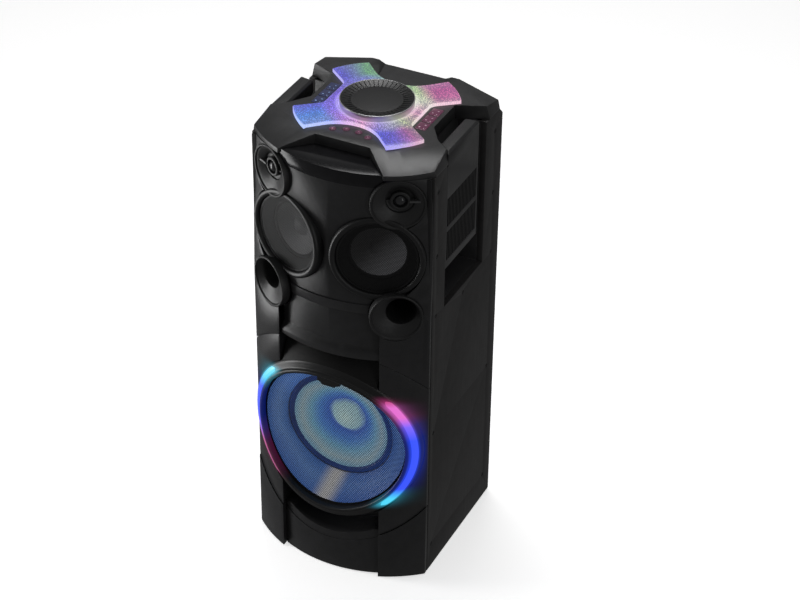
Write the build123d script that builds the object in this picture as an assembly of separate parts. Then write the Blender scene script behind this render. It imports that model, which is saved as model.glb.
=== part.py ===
from build123d import *
import math
import os

# Party speaker: a tall barrel-fronted cabinet that stands on the floor.
# Frame: millimetres, +Z up, front towards -Y, origin at the middle of the footprint on the floor.

# ---- driving dimensions -------------------------------------------------
WIDTH = 360.0                  # over the two side panels
HALF = WIDTH / 2
BACK_Y = 180.0                 # rear face of the wooden box
SIDE_FRONT_Y = -105.0          # front edge of the side panels
BOARD = 12.0                   # thickness of the wooden boards
SKIN = 4.0                     # thickness of the moulded front parts
GAP = 0.4                      # assembly clearance between mouldings

FOOT_Z = 3.0                   # thickness of the rubber feet, so the box starts here
PLATE_BOTTOM_Z = 893.0         # top of the box, underside of the top plate
PLATE_Z = 920.0                # flat part of the top plate
DIAL_Z = 938.0                 # top of the dial, the highest point

BARREL_Y = 84.0                # vertical axis of the barrel front is x = 0, y = BARREL_Y
CENTER_R = 251.0               # barrel radius of the upper middle panel
LIP_R = 262.0                  # of the ledge under it
BASE_R = 258.0                 # of the lower middle panel
COLUMN_R = 267.0               # of the side columns and cheeks
COLUMN_TOP_R = 258.0           # the columns lean back to this radius at the top
CORNER_R = 269.0               # of the lower corners
SEAM_X = 102.0                 # vertical seam between middle panel and columns
SEAM = 1.0                     # half width of that seam

WOOFER_Z = 308.0               # height of the woofer axis
RING_IN = 151.0                # woofer ring, inner and outer radius
RING_OUT = 176.0
RING_BARREL_R = 345.0          # the ring's face is bowed to this radius
RING_BARREL_Y = 157.5          # axis of that bow
RING_STEP_R = 158.5            # radius where the ring's raised lip ends
CHEEK_SEAM_R = 227.0           # round seam outside the cheeks
BASE_SEAM_R = 236.0            # round top edge of the lower middle panel
GRILLE_RECESS = 15.0           # how far the grille lies behind the ring's face
LIGHT_IN, LIGHT_OUT = 159.5, 171.0
LIGHT_LOW, LIGHT_HIGH = -49.0, 46.0    # ends of the light arcs, degrees above the horizontal

DIVIDER_Z = 514.0              # underside of the board between the two chambers
BOARD_FACE_Y = -114.0          # front face of the woofer board
DRIVER_Y = -120.0              # front face of the woofer's flange

MID_X, MID_Y, MID_Z, MID_TURN = 92.0, -150.0, 727.0, 20.6
MID_OUT, MID_IN = 87.0, 74.0
TWEETER_X, TWEETER_Y, TWEETER_Z, TWEETER_TURN = 126.0, -138.0, 843.0, 28.2
TWEETER_OUT, TWEETER_MOUTH = 50.0, 31.0
PORT_X, PORT_Y, PORT_Z, PORT_TURN = 129.0, -147.0, 611.0, 28.9
PORT_OUT, PORT_IN = 49.0, 28.0

HANDLE_FRONT, HANDLE_REAR = -55.0, 110.0   # side pocket, along Y
HANDLE_LOW = 594.0                         # bottom of the pocket
HANDLE_IN = 122.0                          # inner wall of the pocket
WING_REAR = 78.0                           # rear edge of the side wing
WING_LOW = 675.0                           # bottom edge of the wing, above the hand-hold
WING_TOP = 915.0
BAR_IN = 152.0                             # inner side of the handle bar on the wing

DIAL_Y, DIAL_R = 31.5, 68.0
LIGHT_TOP = 927.0                          # top of the cross-shaped light panel
ARM_R = 150.7                              # reach of its arms from the dial's axis
ARM_FROM, ARM_TO = 30.5, 57.5              # their ends, degrees from the X axis

os.makedirs("parts", exist_ok=True)


def save(name, *shapes):
    """Write one node, made of one or more solids."""
    solids = [solid for shape in shapes for solid in shape.solids()]
    export_step(Compound(children=solids) if len(solids) > 1 else solids[0], f"parts/{name}.step")


def block(x, y, z):
    """A box between three (low, high) pairs."""
    middle = ((x[0] + x[1]) / 2, (y[0] + y[1]) / 2, (z[0] + z[1]) / 2)
    return Pos(*middle) * Box(x[1] - x[0], y[1] - y[0], z[1] - z[0])


def upright(radius, z, y=BARREL_Y, x=0.0):
    """A vertical cylinder between two heights."""
    return Pos(x, y, (z[0] + z[1]) / 2) * Cylinder(radius, z[1] - z[0])


def shell(radius, thickness, z, y=BARREL_Y):
    """A vertical tube that the front panels are cut from."""
    return upright(radius, z, y) - upright(radius - thickness, (z[0] - 1, z[1] + 1), y)


def forward(radius, y, z=WOOFER_Z, radius_back=None):
    """A cylinder or cone along Y between two depths, front one first."""
    length = y[1] - y[0]
    turn = Pos(0, (y[0] + y[1]) / 2, z) * Rot(90, 0, 0)
    if radius_back is None:
        return turn * Cylinder(radius, length)
    return turn * Cone(radius_back, radius, length)


def aimed(side, x, y, z, turn):
    """Frame of a driver in a column: local Z points out of the front, turned away from the middle."""
    angle = math.radians(side * turn)
    return Plane((side * x, y, z), x_dir=(math.cos(angle), math.sin(angle), 0),
                 z_dir=(math.sin(angle), -math.cos(angle), 0)).location


def disc(radius, z, radius_top=None):
    """A cylinder or cone along local Z between two heights."""
    move = Pos(0, 0, (z[0] + z[1]) / 2)
    if radius_top is None:
        return move * Cylinder(radius, z[1] - z[0])
    return move * Cone(radius, radius_top, z[1] - z[0])


def ring(outer, inner, z):
    return disc(outer, z) - disc(inner, (z[0] - 1, z[1] + 1))


def both(shape):
    """The part on the right and its mirror image on the left."""
    return shape, mirror(shape, about=Plane.YZ)


def save_pair(name, shape):
    right, left = both(shape)
    save(name + "_right", right)
    save(name + "_left", left)


MID = aimed(1, MID_X, MID_Y, MID_Z, MID_TURN)
TWEETER = aimed(1, TWEETER_X, TWEETER_Y, TWEETER_Z, TWEETER_TURN)
PORT = aimed(1, PORT_X, PORT_Y, PORT_Z, PORT_TURN)
MID_HOLE = MID * disc(MID_OUT + GAP, (-60, 60))
TWEETER_HOLE = TWEETER * disc(TWEETER_OUT + GAP, (-60, 60))
PORT_HOLE = PORT * disc(PORT_OUT + GAP, (-60, 60))
DRIVER_HOLES = MID_HOLE + TWEETER_HOLE + PORT_HOLE
COLUMN_ZONE = block((SEAM_X + SEAM, HALF), (-300, SIDE_FRONT_Y - 0.5), (0, 1000))

# ---- wooden box ---------------------------------------------------------
SCREWS = [(-90, 857), (-90, 724), (-90, 596), (148, 856), (148, 726), (148, 595), (26, 577),
          (-90, 330), (-90, 60), (148, 330), (148, 60)]
HEAD_R, SHANK_R = 3.8, 1.9


def screw_at(y, z, head, shank, extra):
    """A wood screw put in from the right side, its head just under the panel's face."""
    frame = Plane((HALF, y, z), x_dir=(0, 1, 0), z_dir=(1, 0, 0)).location
    return frame * (disc(head, (-2.7 - extra, -0.5 + 2 * extra)) + disc(shank, (-10 - extra, -2.5)))


side = block((HALF - BOARD, HALF), (SIDE_FRONT_Y, BACK_Y), (FOOT_Z, PLATE_BOTTOM_Z))
side -= block((0, 200), (HANDLE_FRONT, HANDLE_REAR), (HANDLE_LOW, 1000))
side = chamfer(side.edges().filter_by(Axis.X).sort_by(lambda e: e.center().Z + e.center().Y)[-1], 14)
for y, z in SCREWS:
    side -= screw_at(y, z, HEAD_R + 0.3, SHANK_R + 0.05, 0.3)
save_pair("side_panel", side)
screws = [screw_at(y, z, HEAD_R, SHANK_R, 0) for y, z in SCREWS]
save("side_screws", *screws, *[mirror(screw, about=Plane.YZ) for screw in screws])

INSIDE = HALF - BOARD
bottom = block((-INSIDE, INSIDE), (SIDE_FRONT_Y, BACK_Y), (FOOT_Z, FOOT_Z + BOARD))
save("bottom_board", bottom)
FOOT_PLACES = [(x, y) for x in (-140, 140) for y in (-85, 150)]
save("feet", *[upright(15, (0, FOOT_Z), y, x) for x, y in FOOT_PLACES])

AMP_X, AMP_Z = 120.0, (560.0, 840.0)
rear = block((-INSIDE, INSIDE), (BACK_Y - BOARD, BACK_Y), (FOOT_Z + BOARD, PLATE_BOTTOM_Z))
rear -= block((-AMP_X, AMP_X), (0, 300), AMP_Z)
save("rear_board", rear)
divider = block((-INSIDE, INSIDE), (BOARD_FACE_Y, BACK_Y - BOARD), (DIVIDER_Z, DIVIDER_Z + BOARD))
save("divider_board", divider)
front = block((-INSIDE, INSIDE), (BOARD_FACE_Y, BOARD_FACE_Y + BOARD), (FOOT_Z + BOARD, DIVIDER_Z))
front -= forward(106, (-200, 0))
save("woofer_board", front)

# ---- amplifier on the rear: panel, board with cooling fins, transformer, mains inlet -------
INLET_X, INLET_Z = -85.0, 590.0
INLET_HOLE = block((INLET_X - 14, INLET_X + 14), (0, 300), (INLET_Z - 10, INLET_Z + 10))
JACK_X = [40, 62, 84]
amp_panel = block((-AMP_X + GAP, AMP_X - GAP), (BACK_Y - 5, BACK_Y - 2), (AMP_Z[0] + GAP, AMP_Z[1] - GAP))
amp_panel -= INLET_HOLE
for x in JACK_X:
    place = Pos(x, BACK_Y, INLET_Z) * Rot(90, 0, 0)
    amp_panel += place * ring(6, 4, (-1, 4))
    amp_panel -= place * disc(4, (-5, 4))
save("amplifier_panel", amp_panel)
inlet = block((INLET_X - 13.6, INLET_X + 13.6), (BACK_Y - 20, BACK_Y - 1), (INLET_Z - 9.6, INLET_Z + 9.6))
inlet_socket = Pos(INLET_X, BACK_Y, INLET_Z) * Rot(90, 0, 0)
inlet -= inlet_socket * extrude(SlotOverall(18, 9.5), amount=14, both=True)
for x in (-4.3, 4.3):
    inlet += inlet_socket * Pos(x, 0, 0) * disc(1.1, (3, 15))
save("mains_inlet", inlet)
amp_board = block((-70, 70), (110, 112), (600, 780))
for index in range(12):
    x = -55 + 10 * index
    amp_board += block((x - 1, x + 1), (112, 150), (640, 740))
amp_board += block((-58, 58), (112, 116), (640, 740))
save("amplifier_board", amp_board)
transformer = block((-35, 35), (20, 90), (526, 580))
save("transformer", transformer)

# ---- moulded front: columns, cheeks, middle panel, base, display window ----------------------
column_profile = Polyline((COLUMN_R - SKIN, 430), (COLUMN_R, 430), (COLUMN_R, 600),
                          (COLUMN_TOP_R, PLATE_BOTTOM_Z), (COLUMN_TOP_R - SKIN, PLATE_BOTTOM_Z),
                          (COLUMN_R - SKIN, 600), close=True)
column_skin = Pos(0, BARREL_Y, 0) * revolve(Plane.XZ * make_face(column_profile), Axis.Z)
column = column_skin & COLUMN_ZONE
column += block((HALF - 6, HALF), (-112, SIDE_FRONT_Y - GAP), (430, PLATE_BOTTOM_Z)) & (
    upright(COLUMN_TOP_R - 1, (430, PLATE_BOTTOM_Z)))
column += block((SEAM_X + SEAM, SEAM_X + SEAM + 3), (-160, BOARD_FACE_Y - GAP), (530, PLATE_BOTTOM_Z)) & (
    upright(COLUMN_TOP_R - 1, (430, PLATE_BOTTOM_Z)))
column -= forward(CHEEK_SEAM_R + SEAM, (-300, 0))
column -= DRIVER_HOLES
save_pair("column", column.solids().sort_by(SortBy.VOLUME)[-1])

cheek = shell(COLUMN_R, SKIN, (FOOT_Z, 560)) & COLUMN_ZONE
cheek += block((SEAM_X + SEAM, SEAM_X + SEAM + 3), (-160, BOARD_FACE_Y - GAP), (FOOT_Z, 560)) & (
    upright(COLUMN_R - 1, (FOOT_Z, 560)))
cheek &= forward(CHEEK_SEAM_R, (-300, 0))
cheek -= forward(RING_OUT + GAP, (-300, 0))
save_pair("cheek", cheek)

center = shell(CENTER_R, SKIN, (538, PLATE_BOTTOM_Z - 13))
lip_profile = Polyline((CENTER_R - SKIN, 514), (LIP_R, 514), (LIP_R, 524), (CENTER_R, 538),
                       (CENTER_R - SKIN, 538), close=True)
center += Pos(0, BARREL_Y, 0) * revolve(Plane.XZ * make_face(lip_profile), Axis.Z)
center &= block((-SEAM_X + SEAM, SEAM_X - SEAM), (-300, 0), (0, 1000))
center += block((-SEAM_X + SEAM, SEAM_X - SEAM), (-150, BOARD_FACE_Y - GAP), (514, 518)) & (
    upright(CENTER_R - 1, (500, 560)))
center -= DRIVER_HOLES + mirror(DRIVER_HOLES, about=Plane.YZ)
save("center_panel", center)
trim = shell(CENTER_R + 2.5, 2.3, (609, 628)) & block((-SEAM_X + SEAM, SEAM_X - SEAM), (-300, 0), (0, 1000))
trim -= DRIVER_HOLES + mirror(DRIVER_HOLES, about=Plane.YZ)
save("trim_strip", trim)

base = shell(BASE_R, SKIN, (FOOT_Z, 110)) & block((-SEAM_X + SEAM, SEAM_X - SEAM), (-300, 0), (0, 1000))
base -= forward(BASE_SEAM_R, (-300, 0))
base_shelf = upright(BASE_R - 2, (FOOT_Z, 110)) & block((-SEAM_X, SEAM_X), (-300, BOARD_FACE_Y - GAP), (FOOT_Z, 110))
base_shelf -= forward(BASE_SEAM_R, (-300, BOARD_FACE_Y), radius_back=BASE_SEAM_R - 24)
base_shelf -= upright(BASE_R - 2 - SKIN, (FOOT_Z - 1, 60)) & block((-SEAM_X, SEAM_X), (-300, 0), (0, 62))
base += base_shelf & block((-SEAM_X + SEAM, SEAM_X - SEAM), (-300, 0), (0, 1000))
corner = shell(CORNER_R, SKIN + 2, (FOOT_Z, 200)) & COLUMN_ZONE
corner += block((SEAM_X + SEAM, SEAM_X + SEAM + 4), (-200, BOARD_FACE_Y - GAP), (FOOT_Z, 110)) & (
    upright(CORNER_R - 1, (FOOT_Z, 110)))
corner -= forward(CHEEK_SEAM_R + SEAM, (-300, 0))
corner += shell(BASE_R - 1, SKIN, (FOOT_Z, 85)) & block((SEAM_X - 10, SEAM_X + SEAM + 2), (-300, 0), (0, 90))
base += corner
base += mirror(corner, about=Plane.YZ)
save("base_panel", base)

WINDOW_LOW, SHELF_Z = PLATE_BOTTOM_Z - 18.0, 901.0
NOTCH_BACK, NOTCH_FRONT = -103.3, -153.5
notch_outline = make_face(Polyline((-53.8, NOTCH_BACK), (53.8, NOTCH_BACK), (105.9, NOTCH_FRONT),
                                   (105.9, -220), (-105.9, -220), (-105.9, NOTCH_FRONT), close=True))
window = Pos(0, 0, PLATE_BOTTOM_Z - 3) * extrude(offset(notch_outline, -GAP), amount=SHELF_Z - PLATE_BOTTOM_Z + 3)
window &= upright(CENTER_R + 1.5, (0, 1000))
window_front = shell(CENTER_R + 1.5, 1.3, (WINDOW_LOW, PLATE_BOTTOM_Z - GAP))
window_front &= block((-SEAM_X + SEAM, SEAM_X - SEAM), (-300, 0), (0, 1000))
window_front += shell(CENTER_R, SKIN, (PLATE_BOTTOM_Z - 13 + GAP, PLATE_BOTTOM_Z - GAP)) & (
    block((-SEAM_X + SEAM, SEAM_X - SEAM), (-300, 0), (0, 1000)))
window_front -= DRIVER_HOLES + mirror(DRIVER_HOLES, about=Plane.YZ)
save("display_window", window + window_front)

# ---- woofer: ring, light arcs, grille, funnel, basket, magnet, cone, surround ---------------
ring_back = BOARD_FACE_Y - GAP
lip_tube = forward(RING_STEP_R, (-250, ring_back)) & upright(RING_BARREL_R, (0, 600), RING_BARREL_Y)
outer_tube = forward(RING_OUT, (-250, ring_back)) & upright(RING_BARREL_R - 9, (0, 600), RING_BARREL_Y)
woofer_ring = (lip_tube + outer_tube) - forward(RING_IN, (-300, 0))
hollow = (forward(RING_OUT - SKIN, (-250, 0)) - forward(RING_IN + SKIN, (-260, 1))) & (
    upright(RING_BARREL_R - 20, (0, 600), RING_BARREL_Y))
woofer_ring -= hollow


def light_sector(inner, outer, low, high):
    """The part of a ring about the woofer's axis between two angles, as a tall solid along Y."""
    low_a, high_a = math.radians(low), math.radians(high)
    reach = outer * 1.5
    wedge = make_face(Polyline((0, 0), (reach * math.cos(low_a), reach * math.sin(low_a)),
                               (reach * 1.5, 0), (reach * math.cos(high_a), reach * math.sin(high_a)),
                               close=True))
    face = (Circle(outer) - Circle(inner)) & wedge
    return Pos(0, 0, WOOFER_Z) * Rot(90, 0, 0) * extrude(face, amount=300)


light_slot = light_sector(LIGHT_IN - GAP, LIGHT_OUT + GAP, LIGHT_LOW - 0.3, LIGHT_HIGH + 0.3)
woofer_ring -= light_slot + mirror(light_slot, about=Plane.YZ)
brow_profile = Polyline((-178, WOOFER_Z + 150), (-178, 486), (-132, 512), (BOARD_FACE_Y - GAP, 512),
                        (BOARD_FACE_Y - GAP, WOOFER_Z + 150), close=True)
brow = extrude(Plane.YZ * make_face(brow_profile), amount=98, both=True)
brow &= upright(CENTER_R, (0, 600))
brow -= forward(RING_OUT - 1, (-300, 0))
brow_hollow = Polyline((-170, WOOFER_Z), (-170, 478), (-130, 500), (-100, 500), (-100, WOOFER_Z),
                       close=True)
brow -= extrude(Plane.YZ * make_face(brow_hollow), amount=90, both=True) & upright(CENTER_R - 8, (0, 600))
woofer_ring += brow
save("woofer_ring", woofer_ring)
light_arc = light_sector(LIGHT_IN, LIGHT_OUT, LIGHT_LOW, LIGHT_HIGH) & (
    shell(RING_BARREL_R - 8, 10, (0, 600), RING_BARREL_Y))
save_pair("light_arc", light_arc & block((0, HALF), (-300, 0), (0, 600)))

GRILLE_R = RING_IN - 0.4
grille = forward(GRILLE_R, (-250, -60)) & shell(RING_BARREL_R - GRILLE_RECESS, 1.5, (0, 600), RING_BARREL_Y)
save("woofer_grille", grille)
CONE_EDGE_R, SURROUND_R, FLANGE_R = 98.0, 110.0, 128.0
ROLL_R = 5.6                   # of the half-round rubber surround
funnel = forward(GRILLE_R, (-250, ring_back - 6 - GAP)) & (
    upright(RING_BARREL_R - GRILLE_RECESS - 3, (0, 600), RING_BARREL_Y))
funnel -= forward(GRILLE_R - 1 + 30, (DRIVER_Y - 92, DRIVER_Y + 1), radius_back=SURROUND_R + 4)
save("woofer_funnel", funnel)
basket = forward(FLANGE_R, (DRIVER_Y + 0.3, BOARD_FACE_Y)) - forward(SURROUND_R - 0.2, (-200, 0))
basket += forward(SURROUND_R, (BOARD_FACE_Y - 1.2, BOARD_FACE_Y)) - forward(102.5, (-200, 0))
basket += forward(105.5, (BOARD_FACE_Y, -50), radius_back=58) - (
    forward(102.5, (BOARD_FACE_Y - 1, -52), radius_back=55))
basket += forward(58, (-52, -46))
basket -= forward(22, (-200, 0))
windows = forward(200, (-104, -58)) - forward(30, (-300, 0))
for index in range(3):
    windows -= Pos(0, 0, WOOFER_Z) * Rot(0, 60 * index, 0) * block((-200, 200), (-120, -40), (-11, 11))
basket -= windows
save("woofer_basket", basket)
magnet = forward(60, (-46, -8)) - forward(22, (-60, -12))
magnet += forward(17, (-52, -10))
save("woofer_magnet", magnet)
cone = forward(CONE_EDGE_R, (-118, -76), radius_back=22) - forward(CONE_EDGE_R - 1.2, (-118.8, -77.2), radius_back=19)
cone += forward(19.6, (-80, -30)) - forward(18.0, (-120, -29))
CAP_R = 34.0
cap_back = -84.5
CAP_RISE = 12.0
cap_sphere_r = (CAP_R**2 + CAP_RISE**2) / (2 * CAP_RISE)
cap_center = cap_back - CAP_RISE + cap_sphere_r
cap = Pos(0, cap_center, WOOFER_Z) * (Sphere(cap_sphere_r) - Sphere(cap_sphere_r - 1.2))
cone += cap & forward(CAP_R, (-200, cap_back))
save("woofer_cone", cone)
surround = Pos(0, DRIVER_Y + 4, WOOFER_Z) * Rot(90, 0, 0) * (Torus((CONE_EDGE_R + SURROUND_R) / 2, ROLL_R))
surround -= Pos(0, DRIVER_Y + 4, WOOFER_Z) * Rot(90, 0, 0) * (Torus((CONE_EDGE_R + SURROUND_R) / 2, ROLL_R - 1))
surround &= forward(200, (-200, DRIVER_Y + 4))
save("woofer_surround", surround)

# ---- mid drivers: ring, grille, frame with magnet, cone ----------------------------------------
mid_ring = ring(MID_OUT, MID_IN, (-26, 4))
mid_ring = fillet(mid_ring.edges().filter_by(GeomType.CIRCLE).group_by(Axis.Z)[-1], 3)
save_pair("mid_ring", MID * mid_ring)
save_pair("mid_grille", MID * disc(MID_IN - GAP, (-4.5, -3)))
mid_frame = disc(MID_IN - GAP, (-26, -8)) - disc(56, (-27, -20)) - disc(56, (-20, -7.9), MID_IN - 1.5)
mid_frame += disc(32, (-58, -26), 60) - disc(29, (-59, -25), 57.5)
mid_frame -= disc(12, (-80, 0))
mid_frame += disc(36, (-76, -58)) - disc(12, (-72, -50)) + disc(9, (-74, -60))
save("mid_frames", *both(MID * mid_frame))
MID_CONE_R = 50.0
mid_surround = Pos(0, 0, -24) * Torus(MID_CONE_R + 3.1, 2.7) & disc(60, (-24, 0))
save("mid_surrounds", *both(MID * mid_surround))
mid_cone = disc(14, (-48, -24), MID_CONE_R) - disc(12, (-47.2, -23.5), MID_CONE_R - 1)
mid_cone += ring(10.8, 9.6, (-62, -44))
mid_cap_r = 32.0
mid_cone += (Pos(0, 0, -64) * (Sphere(mid_cap_r) - Sphere(mid_cap_r - 1))) & disc(16.5, (-40, 0))
mid_cone += ring(17.2, 15.2, (-46, -36.4)) & disc(22, (-46, -36.4), 17.2)
save_pair("mid_cone", MID * mid_cone)

# ---- tweeters: horn and driver; ports -------------------------------------------------------------
MOUTH_MOVE = Pos(4, 4, 0)      # the mouths sit outwards and upwards of the middle of their dishes


def dish(outer, outer_z, inner, inner_z):
    """The sloping dish between a round rim and a smaller mouth set off to one side."""
    rim = Pos(0, 0, outer_z) * Circle(outer)
    mouth = Pos(0, 0, inner_z) * MOUTH_MOVE * Circle(inner)
    return loft([mouth, rim])


horn = disc(TWEETER_OUT, (-14, 3))
horn -= dish(TWEETER_OUT - 3, 3, TWEETER_MOUTH - 5, -9) + disc(TWEETER_OUT - 3, (3, 5))
horn -= MOUTH_MOVE * disc(20, (-15, -8))
horn += MOUTH_MOVE * (ring(15, 12.5, (-14, -3)) + block((13, 32), (-1.8, 1.8), (-13, -3)))
horn += MOUTH_MOVE * (block((-24, -13), (-1.5, 1.5), (-14, -10)) + ring(24, 19, (-14, -10)))
horn = TWEETER * horn - MID_HOLE
save_pair("tweeter_horn", horn)
tweeter_driver = MOUTH_MOVE * (disc(24, (-34, -14.4)) + disc(11, (-14.6, -9)))
tweeter_driver += MOUTH_MOVE * (Pos(0, 0, -15) * Sphere(12) & disc(11, (-10, 0)))
save("tweeter_drivers", *both(TWEETER * tweeter_driver))
port = disc(PORT_OUT, (-14, 3)) + MOUTH_MOVE * disc(PORT_IN + 2, (-90, -13))
port -= MOUTH_MOVE * disc(PORT_IN - 1, (-91, -9))
port -= dish(PORT_OUT - 3, 3, PORT_IN - 1, -10) + disc(PORT_OUT - 3, (3, 5))
port = PORT * port - MID_HOLE
save_pair("port", port)

# ---- side pockets and wings with the handle bar and vents ---------------------------------------
POCKET_WALL = 3.0
pocket = block((HANDLE_IN - POCKET_WALL, INSIDE), (HANDLE_FRONT - POCKET_WALL, HANDLE_REAR + POCKET_WALL),
               (HANDLE_LOW - POCKET_WALL, PLATE_BOTTOM_Z - GAP))
pocket -= block((HANDLE_IN, 200), (HANDLE_FRONT, HANDLE_REAR), (HANDLE_LOW, 1000))
save_pair("handle_pocket", pocket)
WING_OUT = HALF - 0.6
WING_FRONT = HANDLE_FRONT + GAP
wing = block((WING_OUT - 8, WING_OUT), (WING_FRONT, WING_REAR), (WING_LOW, WING_TOP - 28))
bar_outline = make_face(Polyline((BAR_IN, -29), (WING_OUT, -50.6), (WING_OUT, WING_REAR),
                                 (BAR_IN, WING_REAR - 4), close=True))
bar = Pos(0, 0, WING_TOP - 30) * extrude(bar_outline, amount=30)
bar = chamfer(bar.edges().group_by(Axis.Z)[-1], 4)
wing += bar
wing += block((WING_OUT - 20, WING_OUT), (WING_FRONT, WING_REAR), (WING_LOW, WING_LOW + 7))
VENTS = [(691, 751), (762, 820)]
VENT_PITCH = 6.0
for low, high in VENTS:
    wing -= block((WING_OUT - 3, 200), (HANDLE_FRONT + 6, WING_REAR - 5), (low, high))
    y = HANDLE_FRONT + 6 + VENT_PITCH
    while y < WING_REAR - 5 - VENT_PITCH / 2:
        wing += block((WING_OUT - 4, WING_OUT - 1), (y - 1, y + 1), (low, high))
        y += VENT_PITCH
save_pair("handle_wing", wing)

# ---- top plate with the handle notches, device slot, key holes ---------------------------------
NOTCH_POINTS = [(200, -52), (HALF, -52), (148, -27), (HANDLE_IN, 11), (HANDLE_IN, 98), (HALF, 123), (200, 123)]
plate_outline = (Pos(0, -6.25) * Rectangle(WIDTH, 387.5)) & (
    (Pos(0, BARREL_Y) * Circle(COLUMN_TOP_R - 1)) + (Pos(0, 84) * Rectangle(WIDTH, 207)))
plate_outline -= notch_outline
handle_notch = make_face(Polyline(*NOTCH_POINTS, close=True))
plate_outline -= handle_notch
plate_outline -= mirror(handle_notch, about=Plane.YZ)
for sign in (-1, 1):
    plate_outline -= make_face(Polyline((sign * 89, 187.5), (sign * 176, 167), (sign * 200, 160),
                                        (sign * 200, 200), (sign * 89, 200), close=True))
FRONT_EDGE_Z = 902.5           # the corners of the plate slope down to this height at the front
DIP, DIP_FROM_Y = 6.5, 116.0   # depth of the trough at the rear edge, and where it starts
plate = Pos(0, 0, PLATE_BOTTOM_Z) * extrude(plate_outline, amount=PLATE_Z - PLATE_BOTTOM_Z)
inside = Pos(0, 0, PLATE_BOTTOM_Z - 1) * extrude(offset(plate_outline, -SKIN, kind=Kind.INTERSECTION),
                                                 amount=PLATE_Z - PLATE_BOTTOM_Z - SKIN + 1)
inside -= block((-100, 100), (DIP_FROM_Y, 200), (PLATE_Z - DIP - SKIN, PLATE_Z))


def above(points):
    """A big solid on the upper side of the plane through three points, to slice the plate with."""
    plane = Plane(Face(Wire.make_polygon([Vector(*point) for point in points], close=True)))
    if plane.z_dir.Z < 0:
        plane = Plane(plane.origin, z_dir=-plane.z_dir)
    return plane.location * Pos(0, 0, 200) * Box(900, 900, 400)


for sign in (-1, 1):
    slopes = [above([(sign * 53.8, NOTCH_BACK, PLATE_Z), (sign * 173.5, -45, PLATE_Z),
                     (sign * 140, -131.5, FRONT_EDGE_Z)]),
              above([(sign * 89, 187.5, PLATE_Z), (sign * 176, 167, 910), (sign * 174, 117, PLATE_Z)]),
              above([(sign * HALF, 0, PLATE_BOTTOM_Z + 2), (sign * HALF, 50, PLATE_BOTTOM_Z + 2),
                     (sign * 173.5, 0, PLATE_Z)])]
    for slope in slopes:
        plate -= slope
        inside -= Pos(-sign * SKIN, 0, -SKIN) * slope
plate -= inside


def rear_dip(lower=0.0):
    """The trough behind the dial: it starts at the dial's hollow and deepens towards the rear edge."""
    front = make_face(Polyline((-50, PLATE_Z + 9), (-45, PLATE_Z - lower), (45, PLATE_Z - lower),
                               (50, PLATE_Z + 9), close=True))
    back = make_face(Polyline((-95, PLATE_Z + 9), (-62, PLATE_Z - DIP - lower), (62, PLATE_Z - DIP - lower),
                              (95, PLATE_Z + 9), close=True))
    return loft([Plane.XZ.offset(-DIP_FROM_Y) * front, Plane.XZ.offset(-192) * back], ruled=True)


plate -= rear_dip()


def cross(shrink=0.0):
    """Outline of the cross-shaped light panel: four arms round the dial, hollow curves between them."""
    def polar(angle, radius=ARM_R):
        return radius * math.cos(math.radians(angle)), radius * math.sin(math.radians(angle))
    edges = []
    tip_a, tip_m, tip_b = polar(ARM_FROM), polar((ARM_FROM + ARM_TO) / 2), polar(ARM_TO)
    neck, waist = (93.0, 47.0), (87.0, 38.0)
    hollow_corner, hollow_mid = (56.0, 102.5), (0.0, 80.0)
    for sx in (-1, 1):
        for sy in (-1, 1):
            def flip(point, sx=sx, sy=sy):
                return sx * point[0], sy * point[1] + DIAL_Y
            edges.append(ThreePointArc(flip(tip_a), flip(tip_m), flip(tip_b)))
            edges.append(Line(flip(tip_a), flip(neck)))
            edges.append(Line(flip(neck), flip(waist)))
            edges.append(Line(flip(tip_b), flip(hollow_corner)))
    for sx in (-1, 1):
        edges.append(Line((sx * waist[0], waist[1] + DIAL_Y), (sx * waist[0], -waist[1] + DIAL_Y)))
    for sy in (-1, 1):
        edges.append(ThreePointArc((-hollow_corner[0], sy * hollow_corner[1] + DIAL_Y),
                                   (0, sy * hollow_mid[1] + DIAL_Y),
                                   (hollow_corner[0], sy * hollow_corner[1] + DIAL_Y)))
    face = make_face(edges)
    return offset(face, shrink, kind=Kind.INTERSECTION) if shrink else face


plate -= Pos(0, 0, PLATE_BOTTOM_Z) * extrude(cross(GAP), amount=100)
SIDE_KEYS = [(103.0, DIAL_Y + step) for step in (-27, 0, 27)]
FRONT_KEY_R, FRONT_KEY_Y, FRONT_KEY_REACH = 6.5, -127.7, 64.0
FRONT_KEYS = [(FRONT_KEY_REACH * math.sin(math.radians(a)),
               FRONT_KEY_Y + FRONT_KEY_REACH * math.cos(math.radians(a))) for a in (-33, -11, 11, 33)]
KEY_TOP, KEY_LOW = PLATE_Z + 0.8, PLATE_Z - 9
for sign in (-1, 1):
    for x, y in SIDE_KEYS:
        plate -= Pos(sign * x, y, PLATE_Z) * Box(20 + 2 * GAP, 24 + 2 * GAP, 60)
for x, y in FRONT_KEYS:
    plate -= upright(FRONT_KEY_R + GAP, (PLATE_BOTTOM_Z, 960), y, x)
save("top_plate", plate)


def key(cap, foot, x, y):
    """A key cap with a wider foot that keeps it under the plate."""
    foot_top = PLATE_Z - SKIN - 0.5
    stem = extrude(cap, amount=KEY_TOP - KEY_LOW)
    stem = chamfer(stem.edges().group_by(Axis.Z)[-1], 0.5)
    return Pos(x, y, KEY_LOW) * (stem + extrude(foot, amount=foot_top - KEY_LOW))


for number, (x, y) in enumerate(SIDE_KEYS, 1):
    one = key(Rectangle(20, 24), Rectangle(22.4, 26.4), x, y)
    right, left = both(one)
    save(f"key_right_{number}", right)
    save(f"key_left_{number}", left)
for number, (x, y) in enumerate(FRONT_KEYS, 1):
    save(f"key_front_{number}", key(Circle(FRONT_KEY_R), Circle(FRONT_KEY_R + 1.5), x, y))

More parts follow.
